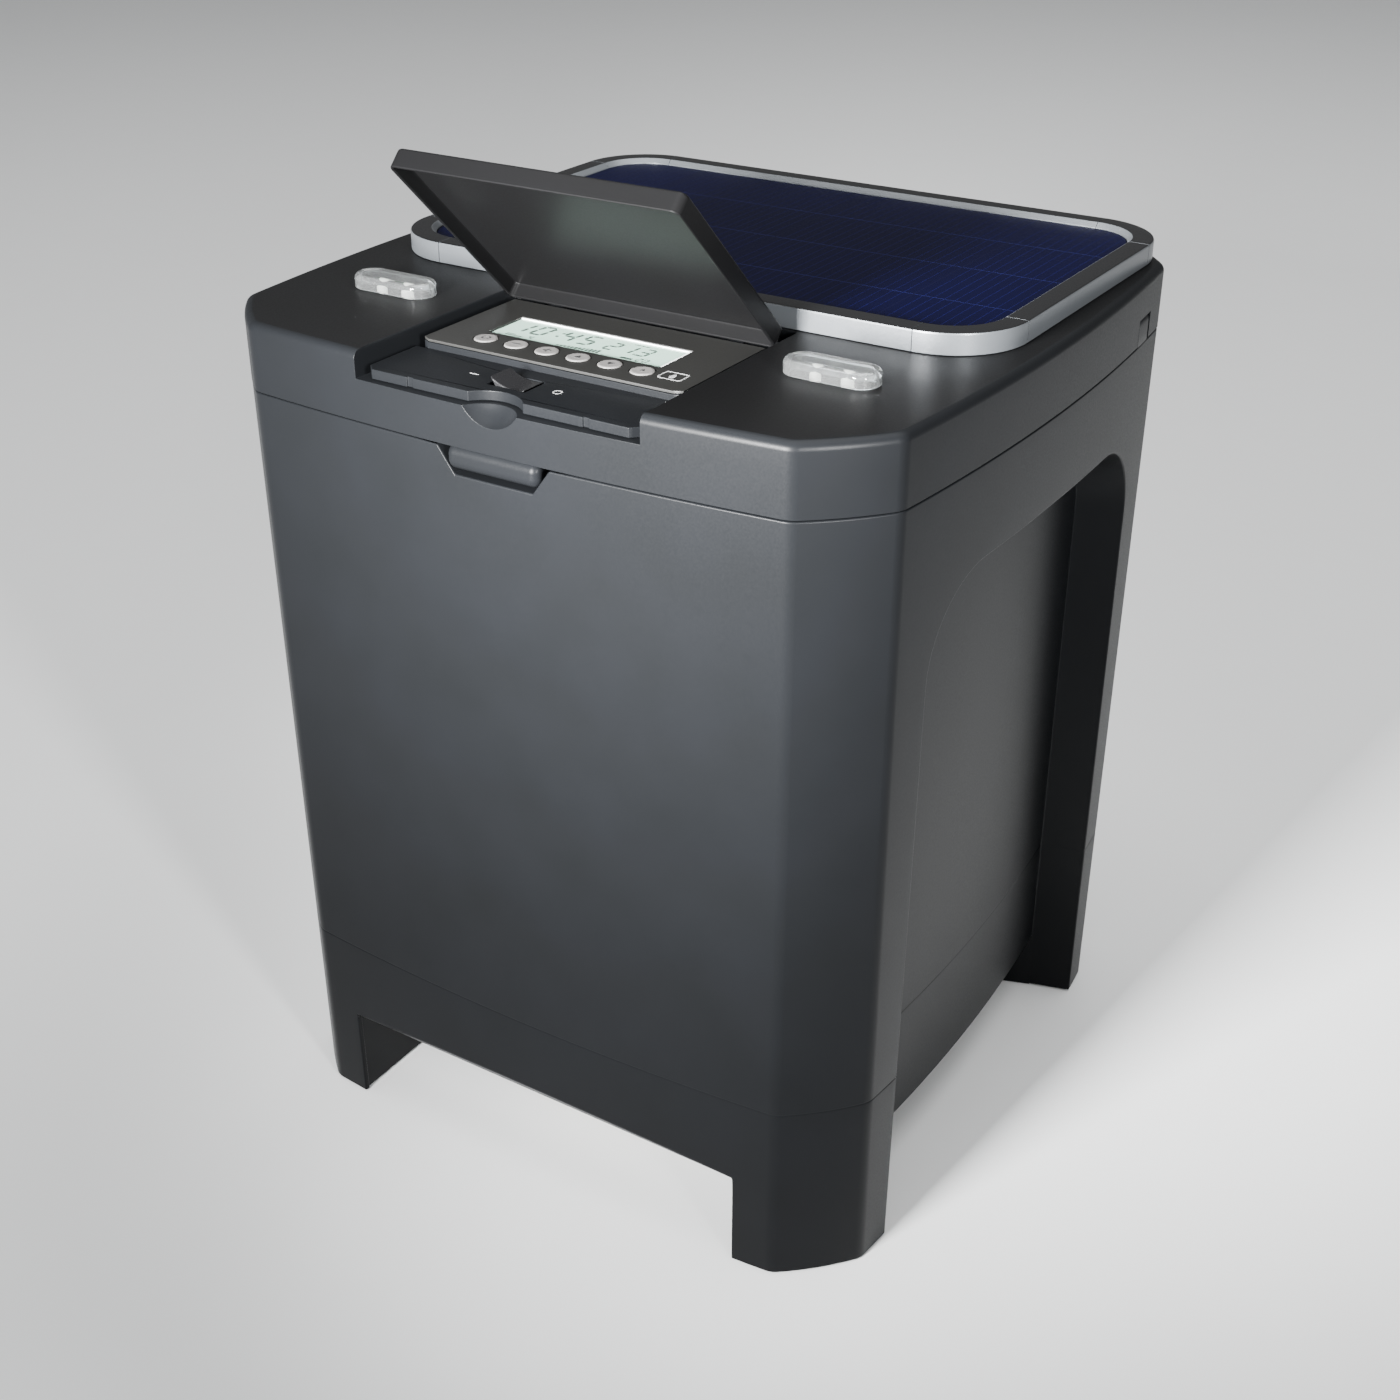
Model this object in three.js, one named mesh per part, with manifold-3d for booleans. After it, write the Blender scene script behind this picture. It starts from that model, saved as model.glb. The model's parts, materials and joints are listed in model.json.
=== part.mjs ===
// Solar-powered automatic feed dispenser with a hinged lid, a display flap and a spinner outlet.
// Units are millimetres. +X is right, +Y is back, +Z is up; the origin is on the ground under the middle.
import * as THREE from 'three';
import { mergeVertices } from 'three/addons/utils/BufferGeometryUtils.js';
import Module from 'manifold-3d';

const wasm = await Module();
wasm.setup();

// ---- Driving dimensions -------------------------------------------------------------------------
const GAP = 0.3; // clearance between touching pieces
const WALL = 3; // moulded wall thickness
const FAR = 220; // further out than any piece, where cutting tools end
const ABOVE = 470; // higher than the closed lid, where cutting tools end
const BELOW = -5; // under the ground, where cutting tools start
const BITE = 5; // how far a tool runs past the face that it cuts

const HALF = 175; // half the footprint, measured at the corner edges
const CORNER = 33; // length of the corner chamfer along each side
const BOW_FRONT = 7; // outward bow of the front and rear faces
const BOW_SIDE = 8; // outward bow of the side faces
const BOW_CORNER = 1.7; // outward bow of the corner chamfers
const TAPER = 0.0085; // plan reduction at the ground relative to the lid top

const LID_TOP = 436.3;
const LID_BOTTOM = 403.8;
const BODY_TOP = 403.2;
const LID_EDGE = 4; // fillet round the lid top

const SKIRT_BOTTOM = 53.4; // lower edge of the front and rear skirts
const PANEL_BOTTOM = 36; // lower edge of the recessed side panels
const BASE_BOTTOM = 59.3; // underside of the base panel
const BASE_TOP = 62.3;
const LEG_BOTTOM = 0.8;
const LEG_FLOOR = 6;
const LEG_INNER_X = 120; // inner face of the legs
const LEG_INNER_Y = 100; // where the slanted leg face meets the inner face
const LEG_SLANT = 0.314; // slope of the slanted leg face in plan
const UNDERCUT = { start: 0.3, y: 13, z: 17.6 }; // slope under the skirt
const SKIRT_INNER = 172; // inner face of the front and rear skirts
const FOOT = { place: 146, radius: 14, height: 3, play: 0.4 }; // rubber foot pads

const ARCH = { y: 69, z: 311, radius: 45, draft: 0.015 }; // side recess at the outer surface
const RECESS_DEPTH = 24;
const RECESS_FLARE = 0.3; // outward flare of the recess walls per millimetre of depth

const LEDGE = { low: 390, high: 393.5, inset: 9 }; // shelf that carries the hopper

const POCKET = { x: 75, rear: -53, floor: 423.7 }; // control pocket in the lid
const SCOOP = { radius: 18.5, y: -188.7, z: 433.2 }; // finger scoop under the flap edge
const LIP = { x: 24.5, top: 409, bottom: 393.2, front: -183, back: -174 }; // lid handle lip
const GRIP = { top: 30, bottom: 21, low: 391, rear: -168.5, wall: 2 }; // body recess behind the lip

const TONGUE = { front: 104, rear: 120, top: 416, gap: 1.2 }; // lid locating tongues on the body

const HINGE = { y: 184.5, z: 403.5, barrel: 5, bore: 2.5, pin: 2.2 }; // lid hinge
const HINGE_X = 105; // middle of each lid hinge
const EAR = { root: 176.5, inner: 7, outer: 13, drop: 16 }; // hinge ears on the body
const KNUCKLE = { root: 177, half: 6.4, rise: 16 }; // hinge barrel on the lid
const HINGE_PIN = 14.5; // half the length of a lid hinge pin

const HOPPER = { x: 144, y: 155, round: 22, top: 396.3, flange: 393.8, bend: 250, wall: 2.5 };
const OUTLET = { x: 27, y: 24, z: 125 }; // hopper outlet
const THROAT = { x: 24, front: -70, rear: -30 }; // opening through the outlet
const DOSER = { y: -50, z: 98, radius: 22, wall: 3, half: 30 }; // dosing housing
const CHUTE = { front: 20, rear: 6, low: 52 }; // fall pipe under the dosing housing, about its axis
const WHEEL = { hub: 7, tip: 20.6, half: 28, vane: 1.1, shaft: 3.6, left: -37, right: 53 };
const GEAR = { teeth: 32, pinion: 12, module: 1.5, low: 46, high: 52 };
const PINION_Y = DOSER.y + (GEAR.module * (GEAR.teeth + GEAR.pinion)) / 2;
const SPINNER = { y: -92, radius: 46, low: 42, plate: 2, vane: 7, hub: 8, shaft: 2.6, top: 72 };
const MOTOR = { x: 56, box: 16, length: 22, can: 14, end: 112, boss: 4 }; // dosing motor and gearbox
const BRACKET = { x: 53.6, plate: 2, half: 22, rise: 20, foot: 96, sheet: 2.4 };
const SPIN_MOTOR = { radius: 13.5, height: 34, flange: 20, boss: 4 };

const FRAME = { x: 169, front: -52, rear: 170, radius: 38, width: 13, height: 10.4 }; // solar frame
const LAMP = { x: 118.5, y: -100, length: 45, width: 18, height: 7, pitch: 15 };
const LED = { flange: 2.9, radius: 2.5, sunk: 5.1 }; // sunk: flange below the lid top
const LED_BOARD = { half: 19, width: 5.6, low: 7, high: 5.4 }; // low and high: below the lid top

const DISPLAY = { x: 69.5, front: -141, rear: -71.4, top: 432.8, sheet: 1.2 };
const LCD = { x: -2.3, y: -105, length: 94, width: 26 };
const KEY = { first: -43.9, pitch: 16.9, y: -126.5, radius: 5.5, count: 6, top: 433.2 };
const SWITCH_PANEL = { x: 72.3, front: -177.2, top: 428.5, bevel: 4.5 };
const ROCKER = { x: -3.5, y: -158, z: 427, half: 9.2, width: 14.4, tilt: 11 };

const FLAP = { x: 74.2, front: -180, rear: -68, bottom: 426.5, top: 436.1, wall: 1.6, skin: 2.4 };
const FLAP_AXIS = { y: -61.2, z: 431 };
const FLAP_OPEN = 44; // degrees above closed, the angle that the flap stands at
const FLAP_PIN = { inner: 47, outer: 77, radius: 1.6, bore: 1.9 };
const FLAP_POST = { inner: 46, outer: 54, half: 4 }; // blocks on the lid that carry the flap pins
const FLAP_KNUCKLE = { inner: 56, outer: 70, barrel: 3.5 };
const GASKET = { x: 150, y: 160, round: 26, width: 8 };
const CELL = { first: 40, pitch: 14, z: 414.4, radius: 7.2, half: 28, count: 4 }; // battery cells

// ---- Finishes -----------------------------------------------------------------------------------
const finish = (color, roughness, metalness = 0) =>
  new THREE.MeshStandardMaterial({ color, roughness, metalness });
const SATIN_BLACK = finish(0x2b2c2e, 0.42);
const GLOSS_BLACK = finish(0x1c1c1e, 0.3);
const FASCIA_BLACK = finish(0x262626, 0.5);
const KEY_GREY = finish(0x6b6b6b, 0.6);
const LCD_GREEN = finish(0xa9c7b8, 0.25);
const CLEAR = finish(0xe8eef0, 0.08);
const LED_WHITE = finish(0xf6f6f2, 0.2);
const FRAME_GREY = finish(0x77797c, 0.35, 0.4);
const CELL_BLUE = finish(0x10104c, 0.2);
const STEEL = finish(0xb4b6b8, 0.3, 0.9);
const HOPPER_GREY = finish(0x4a4c4f, 0.55);
const RUBBER = finish(0x161616, 0.85);
const NYLON = finish(0xe4e1d6, 0.5);
const BOARD_GREEN = finish(0x1f5a34, 0.5);
const WRAP_BLUE = finish(0x22507c, 0.45);

// ---- Solids -------------------------------------------------------------------------------------
function toManifold(geometry) {
  const bare = geometry.clone();
  for (const name of Object.keys(bare.attributes)) {
    if (name !== 'position') bare.deleteAttribute(name);
  }
  const merged = mergeVertices(bare, 1e-4);
  return new wasm.Manifold(
    new wasm.Mesh({
      numProp: 3,
      vertProperties: new Float32Array(merged.attributes.position.array),
      triVerts: new Uint32Array(merged.index.array),
    }),
  );
}

function toGeometry(manifold) {
  const mesh = manifold.getMesh();
  const geometry = new THREE.BufferGeometry();
  geometry.setAttribute('position', new THREE.BufferAttribute(new Float32Array(mesh.vertProperties), 3));
  geometry.setIndex(new THREE.BufferAttribute(new Uint32Array(mesh.triVerts), 1));
  return geometry;
}

const cut = (base, ...tools) =>
  toGeometry(tools.reduce((solid, tool) => solid.subtract(toManifold(tool)), toManifold(base)));
const join = (base, ...others) =>
  toGeometry(others.reduce((solid, other) => solid.add(toManifold(other)), toManifold(base)));
const overlap = (base, other) => toGeometry(toManifold(base).intersect(toManifold(other)));

function box(x0, x1, y0, y1, z0, z1) {
  const geometry = new THREE.BoxGeometry(x1 - x0, y1 - y0, z1 - z0);
  return geometry.translate((x0 + x1) / 2, (y0 + y1) / 2, (z0 + z1) / 2);
}

function prism(shape, z0, z1, curveSegments = 8, steps = 1) {
  const options = { depth: z1 - z0, bevelEnabled: false, curveSegments, steps };
  return new THREE.ExtrudeGeometry(shape, options).translate(0, 0, z0);
}

// A shape drawn in (y, z), extruded along X.
function barX(shape, x0, x1, curveSegments = 8) {
  const turn = new THREE.Matrix4().makeBasis(
    new THREE.Vector3(0, 1, 0),
    new THREE.Vector3(0, 0, 1),
    new THREE.Vector3(1, 0, 0),
  );
  return prism(shape, x0, x1, curveSegments).applyMatrix4(turn);
}

// A shape drawn in (x, z), extruded along Y.
function barY(shape, y0, y1, curveSegments = 8) {
  return prism(shape, -y1, -y0, curveSegments).rotateX(Math.PI / 2);
}

function rodZ(x, y, radius, z0, z1, segments = 24) {
  const geometry = new THREE.CylinderGeometry(radius, radius, z1 - z0, segments).rotateX(Math.PI / 2);
  return geometry.translate(x, y, (z0 + z1) / 2);
}

function rodX(y, z, radius, x0, x1, segments = 24) {
  const geometry = new THREE.CylinderGeometry(radius, radius, x1 - x0, segments).rotateZ(Math.PI / 2);
  return geometry.translate((x0 + x1) / 2, y, z);
}

function polygon(points) {
  return new THREE.Shape(points.map(([a, b]) => new THREE.Vector2(a, b)));
}

function roundedRectangle(x0, x1, y0, y1, radius) {
  const shape = new THREE.Shape();
  shape.absarc(x1 - radius, y0 + radius, radius, -Math.PI / 2, 0, false);
  shape.absarc(x1 - radius, y1 - radius, radius, 0, Math.PI / 2, false);
  shape.absarc(x0 + radius, y1 - radius, radius, Math.PI / 2, Math.PI, false);
  shape.absarc(x0 + radius, y0 + radius, radius, Math.PI, 1.5 * Math.PI, false);
  shape.closePath();
  return shape;
}

// The mirror image across x = 0, with each triangle turned round so that it still faces outwards.
function mirrorX(geometry) {
  const flipped = geometry.index ? geometry.toNonIndexed() : geometry.clone();
  flipped.scale(-1, 1, 1);
  const position = flipped.attributes.position;
  const point = new THREE.Vector3();
  for (let i = 0; i < position.count; i += 3) {
    point.fromBufferAttribute(position, i);
    position.setXYZ(i, position.getX(i + 1), position.getY(i + 1), position.getZ(i + 1));
    position.setXYZ(i + 1, point.x, point.y, point.z);
  }
  return flipped;
}

// ---- Plan outline -------------------------------------------------------------------------------
// Points of an arc from a to b that bows out by sagitta to the right of the direction of travel.
function bowedSide(a, b, sagitta, segments) {
  const points = [];
  const across = new THREE.Vector2().subVectors(b, a);
  const out = new THREE.Vector2(across.y, -across.x).normalize();
  for (let i = 0; i < segments; i += 1) {
    const t = i / segments;
    const lift = 4 * sagitta * t * (1 - t);
    points.push(a.clone().addScaledVector(across, t).addScaledVector(out, lift));
  }
  return points;
}

// The square plan with bowed sides and bowed corner chamfers, drawn inwards by inset.
function planOutline(inset, faceSegments = 10, cornerSegments = 3) {
  const half = HALF - inset;
  const chord = HALF - CORNER - inset * Math.tan(Math.PI / 8);
  const corners = [
    [-chord, -half],
    [chord, -half],
    [half, -chord],
    [half, chord],
    [chord, half],
    [-chord, half],
    [-half, chord],
    [-half, -chord],
  ].map(([x, y]) => new THREE.Vector2(x, y));
  const bows = [BOW_FRONT, BOW_CORNER, BOW_SIDE, BOW_CORNER];
  const points = corners.flatMap((corner, i) => {
    const next = corners[(i + 1) % corners.length];
    return bowedSide(corner, next, bows[i % 4], i % 2 ? cornerSegments : faceSegments);
  });
  return new THREE.Shape(points);
}

// Narrows a body solid towards the ground.
function tapered(geometry) {
  const position = geometry.attributes.position;
  for (let i = 0; i < position.count; i += 1) {
    const scale = 1 - (TAPER * (LID_TOP - position.getZ(i))) / LID_TOP;
    position.setX(i, position.getX(i) * scale);
    position.setY(i, position.getY(i) * scale);
  }
  return geometry;
}

const planSolid = (inset, z0, z1) => tapered(prism(planOutline(inset), z0, z1));

// ---- Body ---------------------------------------------------------------------------------------
// The arched side recess, flared outwards, grown by extra on every edge.
function archSolid(extra, depth) {
  const inner = HALF - depth - 4;
  const outer = HALF + BOW_SIDE + 12;
  const flareTo = (x) => (x - HALF) * RECESS_FLARE + extra;
  const shape = new THREE.Shape();
  shape.moveTo(ARCH.y + ARCH.radius, BELOW);
  shape.lineTo(ARCH.y + ARCH.radius, ARCH.z);
  shape.absarc(ARCH.y, ARCH.z, ARCH.radius, 0, Math.PI / 2, false);
  shape.absarc(-ARCH.y, ARCH.z, ARCH.radius, Math.PI / 2, Math.PI, false);
  shape.lineTo(-ARCH.y - ARCH.radius, BELOW);
  shape.closePath();
  const geometry = barX(shape, inner, outer, 6);
  const position = geometry.attributes.position;
  for (let i = 0; i < position.count; i += 1) {
    const y = position.getY(i);
    const z = position.getZ(i);
    const across = Math.max(Math.abs(y) - ARCH.y, 0);
    const above = Math.max(z - ARCH.z, 0);
    const reach = Math.hypot(across, above);
    const grown = (reach + flareTo(position.getX(i))) / reach;
    const draft = z < ARCH.z ? (ARCH.z - z) * ARCH.draft : 0;
    position.setY(i, Math.sign(y) * (Math.min(Math.abs(y), ARCH.y) + across * grown + draft));
    position.setZ(i, above > 0 ? ARCH.z + above * grown : z);
  }
  return cut(geometry, planSolid(depth, BELOW - BITE, ABOVE));
}

// Plan polygon of one leg, drawn inwards by inset.
function legBlock(inset, z0, z1) {
  const x = LEG_INNER_X + inset;
  const far = HALF + BOW_SIDE + 20;
  const nearY = LEG_INNER_Y + inset;
  const farY = nearY + (far - x) * LEG_SLANT;
  return prism(polygon([[x, nearY], [far, farY], [far, far], [x, far]]), z0, z1);
}

function fourCorners(geometry) {
  const rear = join(geometry, mirrorX(geometry));
  return join(rear, rear.clone().rotateZ(Math.PI));
}

function undercutWedge() {
  const y = -HALF - UNDERCUT.start;
  const profile = polygon([
    [y, SKIRT_BOTTOM],
    [y, SKIRT_BOTTOM - 20],
    [y - UNDERCUT.y, SKIRT_BOTTOM - 20],
    [y - UNDERCUT.y, SKIRT_BOTTOM + UNDERCUT.z],
  ]);
  return barX(profile, -LEG_INNER_X, LEG_INNER_X);
}

// Everything below the base panel that is not a leg, a skirt or a side panel.
function bellySpace() {
  const x = LEG_INNER_X + 1;
  const y = LEG_INNER_Y + 20;
  const legs = fourCorners(legBlock(0, BELOW - BITE, BASE_BOTTOM + BITE));
  const middle = planSolid(RECESS_DEPTH + WALL, BELOW, BASE_BOTTOM);
  const lengthways = box(-x, x, -SKIRT_INNER, SKIRT_INNER, BELOW, BASE_BOTTOM);
  const underSkirts = box(-x, x, -FAR, FAR, BELOW, SKIRT_BOTTOM);
  const underPanels = box(-FAR, FAR, -y, y, BELOW, PANEL_BOTTOM);
  return cut(join(middle, lengthways, underSkirts, underPanels), legs);
}

function bodyCavity(arches) {
  const low = planSolid(WALL, BASE_BOTTOM - 0.5, LEDGE.low);
  const neck = planSolid(LEDGE.inset, LEDGE.low - 1, LEDGE.high + 1);
  const high = planSolid(WALL, LEDGE.high, ABOVE);
  return cut(join(low, neck, high), ...arches);
}

function legHollows(arches) {
  const legs = fourCorners(legBlock(WALL, 0, BASE_BOTTOM + BITE));
  const inside = overlap(planSolid(WALL, LEG_FLOOR, BASE_BOTTOM), legs);
  return cut(inside, ...arches);
}

function gripPocket(grow) {
  const low = GRIP.low - grow;
  const shoulder = BODY_TOP - 3;
  const high = grow ? BODY_TOP : BODY_TOP + BITE;
  const profile = polygon([
    [-GRIP.top - grow, high],
    [-GRIP.top - grow, shoulder],
    [-GRIP.bottom - grow, low],
    [GRIP.bottom + grow, low],
    [GRIP.top + grow, shoulder],
    [GRIP.top + grow, high],
  ]);
  return barY(profile, grow ? -HALF - BITE : -FAR, GRIP.rear + grow);
}

function hingeEar(x0, x1) {
  const arm = polygon([
    [EAR.root, HINGE.z - EAR.drop],
    [HINGE.y + 1, HINGE.z - HINGE.barrel + 0.2],
    [HINGE.y + 1, HINGE.z + 2],
    [HINGE.y - 4, HINGE.z - 1],
    [EAR.root, HINGE.z - 1],
  ]);
  return join(barX(arm, x0, x1), rodX(HINGE.y, HINGE.z, HINGE.barrel, x0, x1));
}

function bodyTongue() {
  const root = BODY_TOP - 6;
  const slab = cut(planSolid(0, root, TONGUE.top), planSolid(WALL, root - BITE, TONGUE.top + BITE));
  return overlap(slab, box(HALF - CORNER, FAR, TONGUE.front, TONGUE.rear, root + 1, TONGUE.top + BITE));
}

function bodyShell() {
  const recess = archSolid(0, RECESS_DEPTH);
  const backing = archSolid(WALL, RECESS_DEPTH + WALL);
  const arches = [backing, mirrorX(backing)];
  const feet = fourCorners(
    rodZ(FOOT.place, FOOT.place, FOOT.radius + FOOT.play, BELOW, FOOT.height + FOOT.play, 16),
  );
  let shell = cut(
    planSolid(0, LEG_BOTTOM, BODY_TOP),
    recess,
    mirrorX(recess),
    bodyCavity(arches),
    bellySpace(),
    legHollows(arches),
    undercutWedge(),
    undercutWedge().rotateZ(Math.PI),
    feet,
  );
  shell = cut(join(shell, gripPocket(GRIP.wall)), gripPocket(0));
  const tongue = bodyTongue();
  const ear = join(
    hingeEar(HINGE_X - EAR.outer, HINGE_X - EAR.inner),
    hingeEar(HINGE_X + EAR.inner, HINGE_X + EAR.outer),
  );
  const bores = rodX(HINGE.y, HINGE.z, HINGE.bore, HINGE_X - EAR.outer - BITE, HINGE_X + EAR.outer + BITE);
  const earPair = cut(ear, bores);
  return join(shell, tongue, mirrorX(tongue), earPair, mirrorX(earPair));
}

function basePanel() {
  const backing = archSolid(WALL + GAP, RECESS_DEPTH + WALL + GAP);
  const plate = cut(planSolid(WALL + GAP, BASE_BOTTOM + GAP, BASE_TOP), backing, mirrorX(backing));
  const half = DOSER.half + 1;
  const low = BASE_BOTTOM - BITE;
  const high = BASE_TOP + BITE;
  const throat = box(-half, half, DOSER.y - CHUTE.front - 1, DOSER.y + CHUTE.rear + 0.4, low, high);
  const shaftHole = rodZ(0, SPINNER.y, 2 * SPINNER.shaft, low, high);
  return cut(plate, throat, shaftHole);
}

const footPad = (x, y) => rodZ(x, y, FOOT.radius, 0, FOOT.height, 16);

function hingePin(x) {
  return rodX(HINGE.y, HINGE.z, HINGE.pin, x - HINGE_PIN, x + HINGE_PIN, 16);
}

// ---- Feed path ----------------------------------------------------------------------------------
// A tub that is straight above the bend and narrows to the outlet below it.
function hopperForm(inset, top, bottom) {
  const x = HOPPER.x - inset;
  const y = HOPPER.y - inset;
  const shape = roundedRectangle(-x, x, -y, y, HOPPER.round - inset);
  const geometry = prism(shape, 0, 2, 3, 2);
  const position = geometry.attributes.position;
  for (let i = 0; i < position.count; i += 1) {
    const level = Math.round(position.getZ(i));
    if (level === 0) {
      position.setX(i, (position.getX(i) * (OUTLET.x - inset)) / x);
      position.setY(i, (position.getY(i) * (OUTLET.y - inset)) / y + DOSER.y);
    }
    position.setZ(i, [bottom, HOPPER.bend, top][level]);
  }
  return geometry;
}

function hopper() {
  const relief = GRIP.top + 4;
  const lip = cut(
    planSolid(WALL + 1.5, HOPPER.flange, HOPPER.top),
    box(-relief, relief, -FAR, GRIP.rear + 4, HOPPER.flange - BITE, HOPPER.top + BITE),
  );
  const tub = join(lip, hopperForm(0, HOPPER.top, OUTLET.z));
  const mouth = box(-THROAT.x, THROAT.x, THROAT.front, THROAT.rear, OUTLET.z - BITE, OUTLET.z + 1);
  return cut(tub, hopperForm(HOPPER.wall, HOPPER.top + 1, OUTLET.z), mouth);
}

function dosingHousing() {
  const { y, z, radius, wall, half } = DOSER;
  const neck = radius + BITE;
  const inner = half - wall;
  const outer = join(
    rodX(y, z, radius + wall, -half - wall, half + wall, 32),
    box(-half, half, y - neck, y + neck, z, OUTLET.z - GAP),
    box(-half, half, y - CHUTE.front, y + CHUTE.rear, CHUTE.low, z),
  );
  return cut(
    outer,
    rodX(y, z, radius, -half, half, 32),
    box(-inner, inner, y - radius, y + radius, z, OUTLET.z + BITE),
    box(-inner, inner, y - CHUTE.front + wall, y + CHUTE.rear - wall, CHUTE.low - BITE, z),
    rodX(y, z, WHEEL.shaft + 0.6, -half - 2 * BITE, half + 2 * BITE, 16),
  );
}

function dosingWheel() {
  const { hub, tip, half, vane, shaft, left, right } = WHEEL;
  const vanes = [0, 1, 2].map((i) =>
    box(-half, half, -vane, vane, -tip, tip).rotateX((i * Math.PI) / 3).translate(0, DOSER.y, DOSER.z),
  );
  return join(
    rodX(DOSER.y, DOSER.z, hub, -half - 0.5, half + 0.5),
    rodX(DOSER.y, DOSER.z, shaft, left, right, 16),
    ...vanes,
  );
}

// A spur gear in the (y, z) plane with straight-sided teeth; the first tooth points along turn.
function gearWheel(teeth, turn, y, z, bore) {
  const pitch = (GEAR.module * teeth) / 2;
  const root = pitch - 1.25 * GEAR.module;
  const tip = pitch + 0.9 * GEAR.module;
  const step = (2 * Math.PI) / teeth;
  const shape = new THREE.Shape();
  for (let i = 0; i < teeth; i += 1) {
    const middle = turn + i * step;
    [[root, -0.29], [tip, -0.1], [tip, 0.1], [root, 0.29]].forEach(([radius, share], corner) => {
      const angle = middle + share * step;
      const move = i === 0 && corner === 0 ? 'moveTo' : 'lineTo';
      shape[move](radius * Math.cos(angle), radius * Math.sin(angle));
    });
  }
  shape.closePath();
  const wheel = barX(shape, GEAR.low, GEAR.high).translate(0, y, z);
  return bore ? cut(wheel, rodX(y, z, bore, GEAR.low - BITE, GEAR.high + BITE, 16)) : wheel;
}

const dosingGear = () =>
  gearWheel(GEAR.teeth, Math.PI / GEAR.teeth, DOSER.y, DOSER.z, WHEEL.shaft + GAP);

function drivePinion() {
  const wheel = gearWheel(GEAR.pinion, Math.PI, PINION_Y, DOSER.z, 0);
  return join(wheel, rodX(PINION_Y, DOSER.z, 3, GEAR.low - 1.5, MOTOR.x + 6, 16));
}

function dosingMotor() {
  const { x, box: half, length, can, end, boss } = MOTOR;
  const body = join(
    box(x, x + length, PINION_Y - half, PINION_Y + half, DOSER.z - half, DOSER.z + half),
    rodX(PINION_Y, DOSER.z, can, x + length - 1, end, 28),
    rodX(PINION_Y, DOSER.z, boss, end - 1, end + 3, 16),
  );
  return cut(body, rodX(PINION_Y, DOSER.z, 3 + GAP, x - BITE, x + 7, 16));
}

function motorBracket() {
  const { x, plate, half, rise, foot, sheet } = BRACKET;
  const low = BASE_TOP + GAP;
  const upright = box(x, x + plate, PINION_Y - half, PINION_Y + half, low, DOSER.z + rise);
  const base = box(x, foot, PINION_Y - half, PINION_Y + half, low, low + sheet);
  return cut(join(upright, base), rodX(PINION_Y, DOSER.z, 5, x - BITE, x + BITE, 16));
}

function spinnerDisc() {
  const { y, radius, low, plate, vane } = SPINNER;
  const vanes = [0, 1].map((i) =>
    box(-radius + 2, radius - 2, -1, 1, low + plate - 0.5, low + plate + vane)
      .rotateZ((i * Math.PI) / 2 + Math.PI / 4)
      .translate(0, y, 0),
  );
  const core = rodZ(0, y, SPINNER.hub, low, low + plate + vane + 2, 20);
  const shaft = rodZ(0, y, SPINNER.shaft, low, SPINNER.top, 16);
  return join(rodZ(0, y, radius, low, low + plate, 40), core, shaft, ...vanes);
}

function spinnerMotor() {
  const { radius, height, flange, boss } = SPIN_MOTOR;
  const low = BASE_TOP + GAP;
  const high = BASE_TOP + height;
  const can = join(
    rodZ(0, SPINNER.y, radius, low, high, 28),
    box(-flange, flange, SPINNER.y - 6, SPINNER.y + 6, low, BASE_TOP + 3),
    rodZ(0, SPINNER.y, boss, high - 1, high + 3, 16),
  );
  return cut(can, rodZ(0, SPINNER.y, SPINNER.shaft + GAP, low - BITE, SPINNER.top + 1, 16));
}

// ---- Lid ----------------------------------------------------------------------------------------
function lidOuter() {
  const height = 60;
  const options = {
    depth: height - 2 * LID_EDGE,
    bevelEnabled: true,
    bevelSize: LID_EDGE,
    bevelThickness: LID_EDGE,
    bevelSegments: 2,
    curveSegments: 8,
  };
  const block = new THREE.ExtrudeGeometry(planOutline(LID_EDGE), options);
  return block.translate(0, 0, LID_TOP - height + LID_EDGE);
}

function lidLip() {
  const shape = new THREE.Shape();
  const radius = (LIP.back - LIP.front) / 2;
  shape.moveTo(LIP.back, LIP.top);
  shape.lineTo(LIP.front, LIP.top);
  shape.lineTo(LIP.front, LIP.bottom + radius);
  shape.absarc(LIP.front + radius, LIP.bottom + radius, radius, Math.PI, 2 * Math.PI, false);
  shape.closePath();
  const bar = barX(shape, -LIP.x, LIP.x);
  const rounded = barY(roundedRectangle(-LIP.x, LIP.x, LIP.bottom, LIP.top + 10, 7), -FAR, LIP.back + BITE);
  return overlap(bar, rounded);
}

function lidKnuckle() {
  const x0 = HINGE_X - KNUCKLE.half;
  const x1 = HINGE_X + KNUCKLE.half;
  const arm = polygon([
    [KNUCKLE.root, LID_BOTTOM + KNUCKLE.rise],
    [KNUCKLE.root, LID_BOTTOM + 0.6],
    [HINGE.y, HINGE.z - 1],
    [HINGE.y + HINGE.barrel - 0.4, HINGE.z + 1],
  ]);
  const block = join(barX(arm, x0, x1), rodX(HINGE.y, HINGE.z, HINGE.barrel, x0, x1));
  return cut(block, rodX(HINGE.y, HINGE.z, HINGE.bore, x0 - BITE, x1 + BITE));
}

// The block that carries the flap pin beside the pocket wall.
function flapPost() {
  const { inner, outer, half } = FLAP_POST;
  return box(inner, outer, FLAP_AXIS.y - half, POCKET.rear + 1, POCKET.floor - 1, FLAP_AXIS.z + half);
}

function stadium(x, y, length, width) {
  return roundedRectangle(x - length / 2, x + length / 2, y - width / 2, y + width / 2, width / 2 - 0.01);
}

function lampHole(side) {
  const hole = stadium(side * LAMP.x, LAMP.y, LAMP.length - 6, LAMP.width - 6);
  return prism(hole, LID_TOP - WALL - BITE, LID_TOP + BITE, 4);
}

function lidNotch() {
  const { front, rear, top, gap } = TONGUE;
  return box(HALF - CORNER, FAR, front - gap, rear + gap, LID_BOTTOM - BITE, top + gap);
}

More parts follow.
